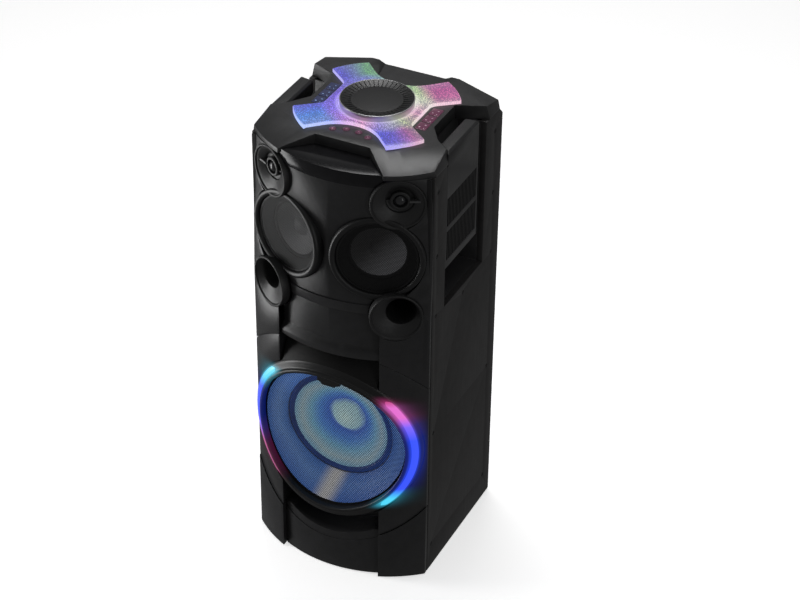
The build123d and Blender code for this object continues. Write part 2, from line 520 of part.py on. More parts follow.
# ---- light panel, its board, and the dial ----------------------------------------------------------
PANEL_LOW = PLATE_Z - 5
light = Pos(0, 0, PANEL_LOW) * extrude(cross(), amount=LIGHT_TOP - PANEL_LOW)
light = chamfer(light.edges().group_by(Axis.Z)[-1], 2.0)
light += shell(DIAL_R + 8, 7, (LIGHT_TOP - 1, LIGHT_TOP + 3), DIAL_Y)
light -= Pos(0, 0, PANEL_LOW - 1) * extrude(cross(-3.0), amount=LIGHT_TOP - PANEL_LOW - 2)
light -= upright(DIAL_R + 1, (LIGHT_TOP - 6, 960), DIAL_Y)
light += upright(DIAL_R + 4, (LIGHT_TOP - 9, LIGHT_TOP - 6), DIAL_Y)
light += shell(DIAL_R + 4, 3, (LIGHT_TOP - 9, LIGHT_TOP - 2), DIAL_Y)
light -= upright(8, (800, 960), DIAL_Y)
save("light_panel", light)
BOARD_LOW = PLATE_Z - 12
light_board = Pos(0, 0, BOARD_LOW) * extrude(cross(-5.0), amount=1.6)
SHAFT_R = 3.0
LAMP_R = 2.5
LAMPS = [(72, 30 * index) for index in range(12)]                         # reach and direction of each lamp
LAMPS += [(reach, angle) for angle in (44, 136, 224, 316) for reach in (100, 120, 138)]
for reach, angle in LAMPS:
    light_board += upright(LAMP_R, (BOARD_LOW + 1, BOARD_LOW + 3), DIAL_Y + reach * math.sin(math.radians(angle)),
                           reach * math.cos(math.radians(angle)))
light_board += upright(6, (BOARD_LOW - 6, BOARD_LOW + 7), DIAL_Y)
light_board -= upright(SHAFT_R + 0.05, (800, 960), DIAL_Y)
save("light_board", light_board)
DIAL_RIBS, DISH_R, DISH_DEPTH = 44, 46.0, 4.0
dial = upright(DIAL_R, (LIGHT_TOP - 5.5, DIAL_Z), DIAL_Y)
dial = chamfer(dial.edges().group_by(Axis.Z)[-1], 1.0)
dial -= Pos(0, DIAL_Y, DIAL_Z - DISH_DEPTH / 2) * Cone(DISH_R, DIAL_R - 3, DISH_DEPTH)
rib = block((DISH_R - 1, DIAL_R - 5), (-0.8, 0.8), (DIAL_Z - DISH_DEPTH - 1, DIAL_Z - 1.6))
for index in range(DIAL_RIBS):
    dial += Pos(0, DIAL_Y, 0) * Rot(0, 0, 360 / DIAL_RIBS * index) * rib
dial -= upright(DIAL_R - 4, (LIGHT_TOP - 6, DIAL_Z - DISH_DEPTH - 3), DIAL_Y) - upright(8, (900, 960), DIAL_Y)
dial += upright(SHAFT_R, (BOARD_LOW - 4, LIGHT_TOP), DIAL_Y)
save("dial", dial)
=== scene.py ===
import bmesh
import bpy
import math
from mathutils import Matrix, Vector


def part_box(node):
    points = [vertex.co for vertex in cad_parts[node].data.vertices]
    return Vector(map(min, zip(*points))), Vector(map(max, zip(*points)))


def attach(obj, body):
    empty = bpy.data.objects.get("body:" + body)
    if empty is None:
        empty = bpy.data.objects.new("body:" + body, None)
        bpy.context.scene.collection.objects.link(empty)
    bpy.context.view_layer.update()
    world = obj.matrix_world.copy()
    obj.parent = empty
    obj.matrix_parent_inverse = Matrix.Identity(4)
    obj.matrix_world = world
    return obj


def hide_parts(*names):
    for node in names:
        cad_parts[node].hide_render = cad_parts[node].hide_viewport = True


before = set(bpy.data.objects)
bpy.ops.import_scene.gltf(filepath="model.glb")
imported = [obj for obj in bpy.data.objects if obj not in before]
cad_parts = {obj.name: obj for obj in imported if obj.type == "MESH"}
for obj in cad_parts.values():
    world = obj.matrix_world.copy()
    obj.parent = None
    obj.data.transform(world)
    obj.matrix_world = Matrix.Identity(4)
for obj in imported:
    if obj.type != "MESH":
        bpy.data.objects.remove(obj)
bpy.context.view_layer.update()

# ---- Camera ----------------------------------------------------------------------------------
# A long lens from in front and to the right, well above the top of the speaker, looking down by 35
# degrees. A small shift sets the speaker off the middle of the frame.
camera_data = bpy.data.cameras.new("camera")
camera_data.lens = 103.9
camera_data.sensor_width = 36.0
camera_data.shift_x = 0.0455
camera_data.shift_y = 0.0169
camera_data.clip_end = 50.0
camera = bpy.data.objects.new("camera", camera_data)
camera.location = (1.6055, -3.1744, 2.9790)
camera.rotation_euler = (math.radians(90.0 - 35.0), 0.0, math.radians(26.99))
bpy.context.collection.objects.link(camera)
bpy.context.scene.camera = camera


# ---- Floor and light -------------------------------------------------------------------------
# A plain floor so pale that it runs into the white of the room, and a few soft panels of light. The
# room looks white, but gives the speaker much less light than it shows.
def floor_sheet(half=9.0, glow=0.62):
    mesh = bpy.data.meshes.new("floor")
    corners = [(-half, -half, 0), (half, -half, 0), (half, half, 0), (-half, half, 0)]
    mesh.from_pydata(corners, [], [(0, 1, 2, 3)])
    sheet = bpy.data.objects.new("floor", mesh)
    bpy.context.collection.objects.link(sheet)
    paint = bpy.data.materials.new("pale floor")
    paint.use_nodes = True
    shader = paint.node_tree.nodes["Principled BSDF"]
    shader.inputs["Base Color"].default_value = (0.95, 0.95, 0.95, 1)
    shader.inputs["Roughness"].default_value = 0.9
    shader.inputs["Specular IOR Level"].default_value = 0.0
    shader.inputs["Emission Color"].default_value = (1, 1, 1, 1)
    shader.inputs["Emission Strength"].default_value = glow
    mesh.materials.append(paint)
    sheet.visible_glossy = False
    sheet.visible_diffuse = False


def soft_panel(name, place, aim, size, power):
    data = bpy.data.lights.new(name, "AREA")
    data.shape = "RECTANGLE"
    data.size, data.size_y = size
    data.energy = power
    lamp = bpy.data.objects.new(name, data)
    lamp.location = place
    lamp.rotation_euler = (Vector(aim) - Vector(place)).to_track_quat("-Z", "Y").to_euler()
    lamp.visible_camera = False
    bpy.context.collection.objects.link(lamp)


def pale_room(seen=1.0, felt=0.16):
    """White where the camera sees it, much dimmer as light on the speaker."""
    world = bpy.data.worlds.new("room")
    world.use_nodes = True
    nodes, links = world.node_tree.nodes, world.node_tree.links
    seen_by_camera = nodes.new("ShaderNodeLightPath").outputs["Is Camera Ray"]
    mix = nodes.new("ShaderNodeMix")
    mix.inputs["A"].default_value, mix.inputs["B"].default_value = felt, seen
    links.new(seen_by_camera, mix.inputs["Factor"])
    links.new(mix.outputs["Result"], nodes["Background"].inputs["Strength"])
    nodes["Background"].inputs["Color"].default_value = (1, 1, 1, 1)
    bpy.context.scene.world = world


floor_sheet()
soft_panel("overhead", (0.3, 0.3, 3.4), (0, 0, 0), (4.0, 4.0), 13)
soft_panel("left strip", (-1.25, -0.55, 0.42), (-0.05, -0.1, 0.55), (0.55, 1.0), 10)
soft_panel("left sheet", (-2.3, -0.9, 0.9), (0, 0, 0.5), (0.5, 1.8), 12)
soft_panel("right strip", (2.4, -1.3, 1.0), (0, 0, 0.6), (0.5, 2.0), 6)
soft_panel("rear panel", (-1.3, 2.3, 2.3), (0, 0, 0.9), (1.6, 0.9), 0.8)
soft_panel("crown panel", (-0.35, 0.85, 3.0), (0.1, -0.1, 0.92), (0.9, 0.9), 25)
pale_room()
bpy.context.scene.view_settings.view_transform = "Standard"


# ---- Wooden box: side panels, bottom, rear, divider and woofer boards ----------------------------
# Particle board wrapped in near-black foil, 12 mm thick, glued into a box; the sides have the
# large pocket window that the moulded hand-hold sits in, and a tongue in front that runs behind the
# mouldings. Finish: faint long grain, soft edges.
MM = 0.001


class Value:
    """One output of a shader node. Arithmetic on it adds Math nodes to the same tree."""

    def __init__(self, paint, socket):
        self.paint, self.socket = paint, socket

    def math(self, operation, *others):
        node = self.paint.node("ShaderNodeMath", {"operation": operation},
                               dict(enumerate((self, *others))))
        return node["Value"]

    def __add__(self, other):
        return self.math("ADD", other)

    def __radd__(self, other):
        return self.math("ADD", other)

    def __sub__(self, other):
        return self.math("SUBTRACT", other)

    def __rsub__(self, other):
        return (self * -1).math("ADD", other)

    def __mul__(self, other):
        return self.math("MULTIPLY", other)

    def __rmul__(self, other):
        return self.math("MULTIPLY", other)

    def __truediv__(self, other):
        return self.math("DIVIDE", other)

    def clamped(self):
        return self.math("MAXIMUM", 0.0).math("MINIMUM", 1.0)

    def step(self, low, high):
        """0 below low, 1 above high, smooth between."""
        node = self.paint.node("ShaderNodeMapRange", {"interpolation_type": "SMOOTHSTEP"},
                               {"Value": self, "From Min": low, "From Max": high})
        return node["Result"]

    def band(self, middle, width):
        """1 at the middle value, falling smoothly to 0 a width away on both sides."""
        return 1 - (self - middle).math("ABSOLUTE").step(0.0, width)


class Outputs:
    def __init__(self, paint, node):
        self.paint, self.made = paint, node

    def __getitem__(self, name):
        return Value(self.paint, self.made.outputs[name])


class Paint:
    """A material with one Principled shader, built node by node."""

    def __init__(self, name, **constants):
        self.material = bpy.data.materials.new(name)
        self.material.use_nodes = True
        self.tree = self.material.node_tree
        self.shader = self.tree.nodes["Principled BSDF"]
        for socket, value in constants.items():
            self.shader.inputs[socket.replace("_", " ")].default_value = value

    def node(self, kind, settings=None, inputs=None):
        made = self.tree.nodes.new(kind)
        for key, value in (settings or {}).items():
            if key == "stops":
                ramp = made.color_ramp
                while len(ramp.elements) < len(value):
                    ramp.elements.new(0.5)
                for element, (position, colour) in zip(ramp.elements, value):
                    element.position, element.color = position, (*colour, 1)
            else:
                setattr(made, key, value)
        for key, value in (inputs or {}).items():
            if isinstance(value, Value):
                self.tree.links.new(value.socket, made.inputs[key])
            else:
                made.inputs[key].default_value = value
        return Outputs(self, made)

    def feed(self, socket, value):
        self.tree.links.new(value.socket, self.shader.inputs[socket])

    def place(self):
        return self.node("ShaderNodeTexCoord")["Object"]

    def axes(self):
        split = self.node("ShaderNodeSeparateXYZ", inputs={"Vector": self.place()})
        return split["X"], split["Y"], split["Z"]

    def noise(self, scale, detail=3.0, stretch=(1, 1, 1)):
        moved = self.node("ShaderNodeMapping", inputs={"Vector": self.place(), "Scale": stretch})["Vector"]
        return self.node("ShaderNodeTexNoise", inputs={"Vector": moved, "Scale": scale, "Detail": detail,
                                                       "Roughness": 0.5})["Fac"]

    def attribute(self, name):
        return self.node("ShaderNodeAttribute", {"attribute_name": name})["Fac"]

    def mix(self, factor, first, second):
        def colour(value):
            return value if isinstance(value, Value) else (*value, 1)
        node = self.node("ShaderNodeMix", {"data_type": "RGBA"},
                         {0: factor, 6: colour(first), 7: colour(second)})
        return Value(self, node.made.outputs[2])

    def bump(self, height, depth):
        bumped = self.node("ShaderNodeBump",
                           inputs={"Height": height, "Distance": depth, "Strength": 1.0})
        self.feed("Normal", bumped["Normal"])


def moulded(name, colour, roughness, grain=1400.0, depth=0.00012, spread=0.10, glow=None, **constants):
    """Injection-moulded plastic: spark-eroded grain, slightly uneven gloss, rubbed edges."""
    paint = Paint(name, **constants)
    cloud = paint.noise(9.0, 4.0)
    fine = paint.noise(grain, 2.0)
    rubbed = paint.attribute("edge")
    worn = (rubbed * (paint.noise(60.0, 3.0) + 0.35)).clamped()
    light = tuple(min(1.0, c * 2.2 + 0.004) for c in colour)
    tone = paint.mix(cloud, tuple(c * 0.86 for c in colour), tuple(c * 1.12 for c in colour))
    paint.feed("Base Color", paint.mix(worn, tone, light))
    paint.feed("Roughness", (cloud * spread + (roughness - spread / 2) + fine * 0.06 - worn * 0.07))
    paint.bump(fine, depth)
    if glow:
        glow(paint)
    return paint.material


def foil_board():
    """Near-black foil over board: long faint grain upwards, a little uneven."""
    paint = Paint("black foil", Specular_IOR_Level=0.32)
    grain = paint.noise(260.0, 4.0, (1, 1, 0.03))
    cloud = paint.noise(5.0, 3.0)
    worn = (paint.attribute("edge") * (paint.noise(45.0) + 0.3)).clamped()
    tone = paint.mix(grain, (0.0105, 0.0105, 0.011), (0.016, 0.016, 0.0165))
    paint.feed("Base Color", paint.mix(worn, tone, (0.035, 0.034, 0.034)))
    paint.feed("Roughness", grain * 0.12 + cloud * 0.08 + 0.40)
    paint.bump(grain, 0.00010)
    return paint.material


def dress(node, finish):
    """Give a CAD node its finish."""
    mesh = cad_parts[node].data
    mesh.materials.clear()
    mesh.materials.append(finish)


def finish_piece(name, mesh, finish, body, stands_for, smooth=35.0):
    """Make the piece of a mesh: finish, smooth shading up to an angle, body, CAD nodes."""
    mesh.materials.clear()
    mesh.materials.append(finish)
    mesh.shade_smooth()
    mesh.set_sharp_from_angle(angle=math.radians(smooth))
    piece = bpy.data.objects.new(name, mesh)
    bpy.context.collection.objects.link(piece)
    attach(piece, body)
    if stands_for:
        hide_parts(*stands_for)
    return piece


def slab(place, x, y, z):
    """A bar between three (low, high) pairs in mm, in a frame."""
    points = [place @ (Vector((a, b, c)) * MM) for a in x for b in y for c in z]
    return points, [[0, 1, 3, 2], [4, 6, 7, 5], [0, 4, 5, 1], [2, 3, 7, 6], [0, 2, 6, 4], [1, 5, 7, 3]]


def eased_copy(node, width, finish, body="cabinet", segments=2, angle=32.0, added=None):
    """A copy of a CAD node, and of what is added to it, with its edges rounded over.

    The rounding is marked in the attribute "edge".
    """
    work = bmesh.new()
    work.from_mesh(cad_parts[node].data)
    bmesh.ops.remove_doubles(work, verts=work.verts, dist=2e-6)
    bmesh.ops.dissolve_limit(work, angle_limit=math.radians(0.6), verts=work.verts, edges=work.edges)
    if added:
        corners = [work.verts.new(point) for point in added[0]]
        for face in added[1]:
            work.faces.new([corners[k] for k in face])
    sharp = [edge for edge in work.edges
             if len(edge.link_faces) == 2 and edge.calc_face_angle() > math.radians(angle)]
    made = bmesh.ops.bevel(work, geom=sharp, offset=width, segments=segments, profile=0.5,
                           affect="EDGES", clamp_overlap=True)
    mark = work.verts.layers.float.new("edge")
    for face in made["faces"]:
        for vert in face.verts:
            vert[mark] = 1.0
    bmesh.ops.triangulate(work, faces=[face for face in work.faces if len(face.verts) > 4])
    mesh = bpy.data.meshes.new(node + "_eased")
    work.to_mesh(mesh)
    work.free()
    return finish_piece(node + "_shape", mesh, finish, body, [node])


FOIL = foil_board()
TONGUE_IN, TONGUE_OUT = 169.0, 176.6
TONGUE_Y, TONGUE_Z = (-112.5, -104.0), (3.2, 892.0)
SIDES = (("right", 1), ("left", -1))
for side, sign in SIDES:
    tongue = slab(Matrix(), sorted((sign * TONGUE_IN, sign * TONGUE_OUT)), TONGUE_Y, TONGUE_Z)
    eased_copy("side_panel_" + side, 0.0012, FOIL, added=tongue)
for node in ("bottom_board", "rear_board"):
    eased_copy(node, 0.0008, FOIL)
dress("divider_board", FOIL)
dress("woofer_board", FOIL)

# ---- Feet ------------------------------------------------------------------------------------
# Four moulded rubber pads, 30 mm across and 3 mm thick, glued under the bottom board. The rubber is
# dull, with a fine moulded grain.
RUBBER = moulded("foot rubber", (0.012, 0.012, 0.012), 0.85, grain=900.0, depth=0.0002)
dress("feet", RUBBER)

# ---- Side screws -----------------------------------------------------------------------------
# Black-plated wood screws with a cross recess, eleven to a side. They are driven in from outside,
# their heads just under the face of the panel.
def skinned(rings, closed=False, capped=False):
    """Points and faces of a skin over rings of points; a ring of one point is a pole."""
    steps = max(len(ring) for ring in rings)
    points, rows = [], []
    for ring in rings:
        rows.append(range(len(points), len(points) + len(ring)))
        points += ring
    pairs = list(zip(rows, rows[1:]))
    if closed and len(rows[0]) > 1 and len(rows[-1]) > 1:
        pairs.append((rows[-1], rows[0]))
    faces = [list(rows[0]), list(rows[-1])] if capped else []
    for lower, upper in pairs:
        for k in range(steps):
            corners = [lower[k % len(lower)], lower[(k + 1) % len(lower)],
                       upper[(k + 1) % len(upper)], upper[k % len(upper)]]
            faces.append(list(dict.fromkeys(corners)))
    return points, faces


def around(steps):
    """Evenly spaced angles of one turn."""
    return [2 * math.pi * k / steps for k in range(steps)]


def turned(profile, steps=128, place=Matrix(), bend=None, closed=True):
    """Points and faces of a profile of (radius, height) in mm, turned about the Z axis of place."""
    rings = []
    for radius, height in profile:
        ring = []
        for angle in around(steps)[:1 if radius == 0 else steps]:
            reach = radius(angle) if callable(radius) else radius
            point = Vector((reach * math.cos(angle), reach * math.sin(angle), height)) * MM
            ring.append(place @ (bend(point) if bend else point))
        rings.append(ring)
    return skinned(rings, closed)


def mesh_of(name, parts):
    """One mesh from one or more (points, faces) lists, doubles merged, faces turned outwards."""
    points, faces = [], []
    for part_points, part_faces in parts:
        start = len(points)
        points += part_points
        faces += [[start + index for index in face] for face in part_faces]
    mesh = bpy.data.meshes.new(name)
    mesh.from_pydata([tuple(point) for point in points], [], faces)
    work = bmesh.new()
    work.from_mesh(mesh)
    bmesh.ops.remove_doubles(work, verts=work.verts, dist=1e-6)
    bmesh.ops.recalc_face_normals(work, faces=work.faces)
    work.to_mesh(mesh)
    work.free()
    return mesh


def built(name, parts, finish, body, stands_for, smooth=35.0):
    """A piece from one or more (points, faces) lists."""
    return finish_piece(name, mesh_of(name, parts), finish, body, stands_for, smooth)


def eased(profile, radius, steps=4):
    """Round the corners of a closed profile with short arcs."""
    result = []
    count = len(profile)
    for k, corner in enumerate(profile):
        here = Vector(corner)
        back, ahead = Vector(profile[k - 1]) - here, Vector(profile[(k + 1) % count]) - here
        reach = min(radius, back.length * 0.45, ahead.length * 0.45)
        start, end = here + back.normalized() * reach, here + ahead.normalized() * reach
        for i in range(steps + 1):
            t = i / steps
            point = start * (1 - t) ** 2 + here * 2 * t * (1 - t) + end * t ** 2
            result.append((point.x, point.y))
    return result


class Tree:
    """A geometry tree, built node by node."""

    def __init__(self, name, sockets):
        self.tree = bpy.data.node_groups.new(name, "GeometryNodeTree")
        for label, kind, value in sockets:
            socket = self.tree.interface.new_socket(label, in_out="INPUT", socket_type="NodeSocket" + kind)
            if value is not None:
                socket.default_value = value
        self.tree.interface.new_socket("Geometry", in_out="OUTPUT", socket_type="NodeSocketGeometry")
        self.given = self.tree.nodes.new("NodeGroupInput").outputs

    def add(self, kind, settings=None, inputs=None, take=0):
        node = self.tree.nodes.new(kind)
        for key, value in (settings or {}).items():
            setattr(node, key, value)
        for key, value in (inputs or {}).items():
            if isinstance(value, bpy.types.NodeSocket):
                self.tree.links.new(value, node.inputs[key])
            else:
                node.inputs[key].default_value = value
        return node.outputs[take]

    def math(self, operation, first, second=0.0):
        return self.add("ShaderNodeMath", {"operation": operation}, {0: first, 1: second})

    def end(self, instances, finish):
        """Realize the instances, give them their material, and close the tree."""
        real = self.add("GeometryNodeRealizeInstances", None, {"Geometry": instances})
        done = self.add("GeometryNodeSetMaterial", None, {"Geometry": real, "Material": finish})
        self.tree.links.new(done, self.tree.nodes.new("NodeGroupOutput").inputs[0])
        return self.tree


def run_tree(tree, values, places=()):
    """Put a geometry tree on a mesh of points, set its named inputs, and give back the plain mesh."""
    seeds = bpy.data.meshes.new("places")
    seeds.from_pydata([tuple(place) for place in places], [], [])
    carrier = bpy.data.objects.new("carrier", seeds)
    bpy.context.collection.objects.link(carrier)
    modifier = carrier.modifiers.new("tree", "NODES")
    modifier.node_group = tree
    for item in tree.interface.items_tree:
        if item.in_out == "INPUT" and item.name in values:
            modifier[item.identifier] = values[item.name]
    mesh = bpy.data.meshes.new_from_object(carrier.evaluated_get(bpy.context.evaluated_depsgraph_get()))
    carrier.modifiers.clear()
    bpy.data.objects.remove(carrier)
    return mesh


def row_tree(finish):
    """Sets one piece at every given place, each turned a step more about Z than the last."""
    row = Tree("pieces at places", [("Geometry", "Geometry", None), ("Piece", "Object", None),
                                    ("First turn", "Float", 0.0), ("Turn step", "Float", 0.0)])
    piece = row.add("GeometryNodeObjectInfo", None, {"Object": row.given["Piece"]}, "Geometry")
    index = row.add("GeometryNodeInputIndex")
    turn = row.math("ADD", row.given["First turn"], row.math("MULTIPLY", index, row.given["Turn step"]))
    spin = row.add("ShaderNodeCombineXYZ", None, {"Z": turn})
    placed = row.add("GeometryNodeInstanceOnPoints", None,
                     {"Points": row.given["Geometry"], "Instance": piece, "Rotation": spin})
    return row.end(placed, finish)


def repeated(tree, mesh, places, first_turn=0.0, turn_step=0.0):
    """The plain mesh of one small mesh repeated at places (metres)."""
    piece = bpy.data.objects.new("one", mesh)
    bpy.context.collection.objects.link(piece)
    made = run_tree(tree, {"Piece": piece, "First turn": first_turn, "Turn step": turn_step}, places)
    bpy.data.objects.remove(piece)
    return made


def joined(name, meshes):
    """Several meshes as one."""
    return mesh_of(name, [([vert.co.copy() for vert in mesh.vertices],
                           [list(face.vertices) for face in mesh.polygons]) for mesh in meshes])


def cross_reach(angle):
    """Radius of the cross recess in the screw head, in a direction."""
    off = abs((angle + math.pi / 4) % (math.pi / 2) - math.pi / 4)
    return 1.95 / math.cos(off) if off < 0.18 else 0.36 / math.sin(off)


SCREW_STEEL = moulded("black plated screw", (0.03, 0.03, 0.032), 0.32, grain=900.0, Metallic=0.8)
OUT_OF_RIGHT_SIDE = Matrix.Rotation(math.radians(90), 4, "Y")
screw_head = turned([(0, -1.0), (lambda a: cross_reach(a) * 0.7, -1.0), (cross_reach, 0.0), (2.7, 0.0),
                     (3.4, -0.3), (3.8, -0.9), (3.8, -2.2), (0, -2.2)], 24, OUT_OF_RIGHT_SIDE, closed=False)
SCREW_X = 179.4
SCREW_ROWS = [(-90, 857), (-90, 724), (-90, 596), (148, 856), (148, 726), (148, 595), (26, 577),
              (-90, 330), (-90, 60), (148, 330), (148, 60)]
screw_tree = row_tree(SCREW_STEEL)
screw_sides = [repeated(screw_tree, mesh_of("screw", [screw_head]),
                        [Vector((sign * SCREW_X, y, z)) * MM for y, z in SCREW_ROWS], turn)
               for sign, turn in ((1, 0.0), (-1, math.pi))]
finish_piece("side_screws_shape", joined("side_screws_shape", screw_sides), SCREW_STEEL, "cabinet",
             ["side_screws"])

# ---- Rear: amplifier panel, sockets, mains inlet ---------------------------------------------
# A black painted steel plate in the rear board, with three round sockets and the mains inlet. The
# boards, transformer, magnet and driver frames inside the box get their finishes here too.
PAINTED_STEEL = moulded("black painted steel", (0.018, 0.018, 0.018), 0.42, grain=700.0, depth=0.0001)
BLACK_NYLON = moulded("black nylon", (0.008, 0.008, 0.008), 0.6, grain=1100.0, Specular_IOR_Level=0.25)
dress("amplifier_panel", PAINTED_STEEL)
dress("mains_inlet", BLACK_NYLON)
CAST_IRON = moulded("magnet iron", (0.05, 0.048, 0.045), 0.6, grain=400.0, depth=0.0002, Metallic=0.6)
GREEN_BOARD = moulded("printed board", (0.01, 0.05, 0.02), 0.45, grain=500.0)
BARE_METAL = moulded("bare pressed metal", (0.45, 0.45, 0.44), 0.35, grain=600.0, Metallic=0.9)
for node in ("woofer_magnet", "transformer"):
    dress(node, CAST_IRON)
for node in ("amplifier_board", "light_board"):
    dress(node, GREEN_BOARD)
dress("woofer_basket", BARE_METAL)
dress("mid_frames", BLACK_NYLON)

# ---- Moulded front: columns, cheeks, middle panel, trim strip, base ------------------------------
# Black ABS mouldings screwed to the box, with a fine grain and softly rounded edges. The coloured light that
# the arcs spill on the ones beside them is painted into those as a glow.
def tint(red, green, blue):
    """A colour as seen on a screen, 0 to 255, as the shader's linear values."""
    return tuple(((c / 255 + 0.055) / 1.055) ** 2.4 if c > 10 else c / 255 / 12.92
                 for c in (red, green, blue))


PINK, VIOLET, BLUE, SKY = tint(228, 105, 205), tint(120, 95, 255), tint(38, 75, 255), tint(70, 215, 250)
ARC_LOW_Z, ARC_HIGH_Z = 0.183, 0.427
ARC_MIDDLE_Z, ARC_R = 0.308, 0.1655


def arc_colour(paint, x, z):
    """Colour of the light arcs by height: right one pink over blue over sky, left one the reverse."""
    rise = (z - ARC_LOW_Z) / (ARC_HIGH_Z - ARC_LOW_Z)
    right = paint.node("ShaderNodeValToRGB", {"stops": [
        (0.0, SKY), (0.07, SKY), (0.17, BLUE), (0.64, BLUE), (0.77, VIOLET), (0.86, PINK), (0.95, PINK),
        (1.0, tint(190, 60, 130))]},
        {"Fac": rise})["Color"]
    left = paint.node("ShaderNodeValToRGB", {"stops": [
        (0.0, tint(150, 40, 100)), (0.22, tint(190, 60, 140)), (0.36, VIOLET), (0.46, BLUE), (0.74, BLUE),
        (0.86, SKY), (1.0, tint(110, 225, 250))]}, {"Fac": rise})["Color"]
    return paint.mix(x.step(-0.001, 0.001), left, right)


def arc_halo(paint, reach=0.009):
    """Painted glow of the light spilt round the arcs: strong beside them and fading over a few centimetres.
    """
    x, y, z = paint.axes()
    dz = z - ARC_MIDDLE_Z
    off = ((x * x + dz * dz).math("SQRT") - ARC_R).math("ABSOLUTE")
    # painted glow: strong on a band beside each arc, then fading outwards
    near = (1 - off.step(0.005, 0.009)) * 0.45 + (0 - (off - 0.005) / reach).math("EXPONENT") * 0.26
    ends = z.step(ARC_LOW_Z - 0.016, ARC_LOW_Z + 0.012) * (1 - z.step(ARC_HIGH_Z - 0.014, ARC_HIGH_Z + 0.014))
    beside = x.math("ABSOLUTE").step(0.075, 0.115)
    front = 1 - y.step(-0.118, -0.108)
    paint.feed("Emission Color", paint.mix((near * ends * beside * front).clamped(), (0, 0, 0),
                                           arc_colour(paint, x, z)))


BLACK = moulded("black moulding", (0.0085, 0.0085, 0.009), 0.36, Specular_IOR_Level=0.40)
# The same black, with the arcs' spilt light painted on as a glow round them.
BLACK_LIT = moulded("black moulding by the arcs", (0.0085, 0.0085, 0.009), 0.36, glow=arc_halo,
                    Specular_IOR_Level=0.40, Emission_Strength=1.0)
for node in ("column_right", "column_left", "center_panel"):
    eased_copy(node, 0.0013, BLACK)
for node in ("cheek_right", "cheek_left", "base_panel"):
    eased_copy(node, 0.0013, BLACK_LIT)
eased_copy("trim_strip", 0.0007, BLACK)

# ---- Display window --------------------------------------------------------------------------
# A smoked glossy strip over the display, bent round under the top plate and back as the floor of
# the slot that a phone stands in.
SMOKED = moulded("smoked gloss", (0.0035, 0.0035, 0.004), 0.20, grain=2500.0, depth=0.00001, spread=0.05,
                 Specular_IOR_Level=0.20)
eased_copy("display_window", 0.0012, SMOKED)

# ---- Top plate -------------------------------------------------------------------------------
# One satin moulding that caps the box, its corners sloping down, with notches for the handles and
# the phone slot, and a trough behind the dial. It catches some of the colours of the light cross.
PLATE = moulded("top plate plastic", (0.013, 0.013, 0.0135), 0.36, Specular_IOR_Level=0.34)
eased_copy("top_plate", 0.0018, PLATE, segments=3)

# ---- Side wings and pockets ------------------------------------------------------------------
# Each side has a moulded pocket and, over it, a wing that carries the handle bar and two fields of
# upright slats; the hand goes in under the wing.
for side in ("right", "left"):
    eased_copy("handle_pocket_" + side, 0.0010, BLACK)
SLAT_FIELDS = [(691, 751), (762, 820)]
SLAT_FROM, SLAT_TO, SLAT_PITCH = -43.0, 71.0, 6.0
SLAT_X = 179.2
slat_tree = row_tree(BLACK)


def slat(height, sign):
    """One upright slat, 2.6 mm wide, its outer edges rounded off."""
    outline = [(-1.3, 3.2), (-1.3, 0.7), (-0.8, 0.05), (0.8, 0.05), (1.3, 0.7), (1.3, 3.2)]
    ends = (-height / 2, height / 2)
    return skinned([[Vector((-sign * x, y, z)) * MM for y, x in outline] for z in ends], capped=True)


for side, sign in SIDES:
    eased_copy("handle_wing_" + side, 0.0011, BLACK)
    fields = []
    for low, high in SLAT_FIELDS:
        count = int((SLAT_TO - SLAT_FROM) / SLAT_PITCH) + 1
        places = [Vector((sign * SLAT_X, SLAT_FROM + SLAT_PITCH * k, (low + high) / 2)) * MM
                  for k in range(count)]
        fields.append(repeated(slat_tree, mesh_of("slat", [slat(high - low, sign)]), places))
    finish_piece("wing_slats_" + side, joined("wing_slats_" + side, fields), BLACK, "cabinet", [])

# ---- Woofer ring -------------------------------------------------------------------------------
# One moulding: a raised lip round the grille that bows with the front, falling away outwards, with
# a brow over it that slopes back into the shadow gap and a small tab at the top of the opening.
WOOFER_FRAME = Matrix(((1, 0, 0, 0), (0, 0, -1, 0), (0, 1, 0, 0.308), (0, 0, 0, 1)))
RING_BOW, RING_BOW_AXIS = 0.345, 0.1575


def bowed(point, offset=0.0):
    """Lay a point, given relative to the flat ring face, on the bowed face of the woofer ring."""
    depth = math.sqrt(RING_BOW ** 2 - point.x ** 2) - RING_BOW_AXIS
    return Vector((point.x, point.y, point.z + depth + offset))


BROW_HALF, BROW_R, BROW_THICK = 98, 173, 3
BROW_TOP_Y, BROW_TOP_Z = -128.0, 511.0


def brow():
    """The sloping brow from the top of the ring back into the shadow gap, in slices along X."""
    columns, rows = 40, 8
    slices = []
    for i in range(columns + 1):
        x = -BROW_HALF + 2 * BROW_HALF * i / columns
        low_z = 308 + math.sqrt(BROW_R ** 2 - x * x)
        low_y = 157.5 - math.sqrt(345 ** 2 - x * x) + 11
        front = []
        for j in range(rows + 1):
            t = j / rows
            front.append(Vector((x, low_y + (BROW_TOP_Y - low_y) * t,
                                 low_z + (BROW_TOP_Z - low_z) * t ** 0.85)))
        back = [point + Vector((0, BROW_THICK, -BROW_THICK)) for point in reversed(front)]
        slices.append([point * MM for point in front + back])
    return skinned(slices, capped=True)


def ring_tab():
    """The small stepped tab that hangs from the top of the lip over the grille."""
    outline = [(-13, 152.5), (-13, 143), (-6, 140), (-4, 136), (22, 136), (25, 139), (32, 141), (34, 151.5)]
    return skinned([[WOOFER_FRAME @ bowed(Vector((x, r, h)) * MM) for x, r in outline]
                    for h in (-3.0, -11.0)], capped=True)


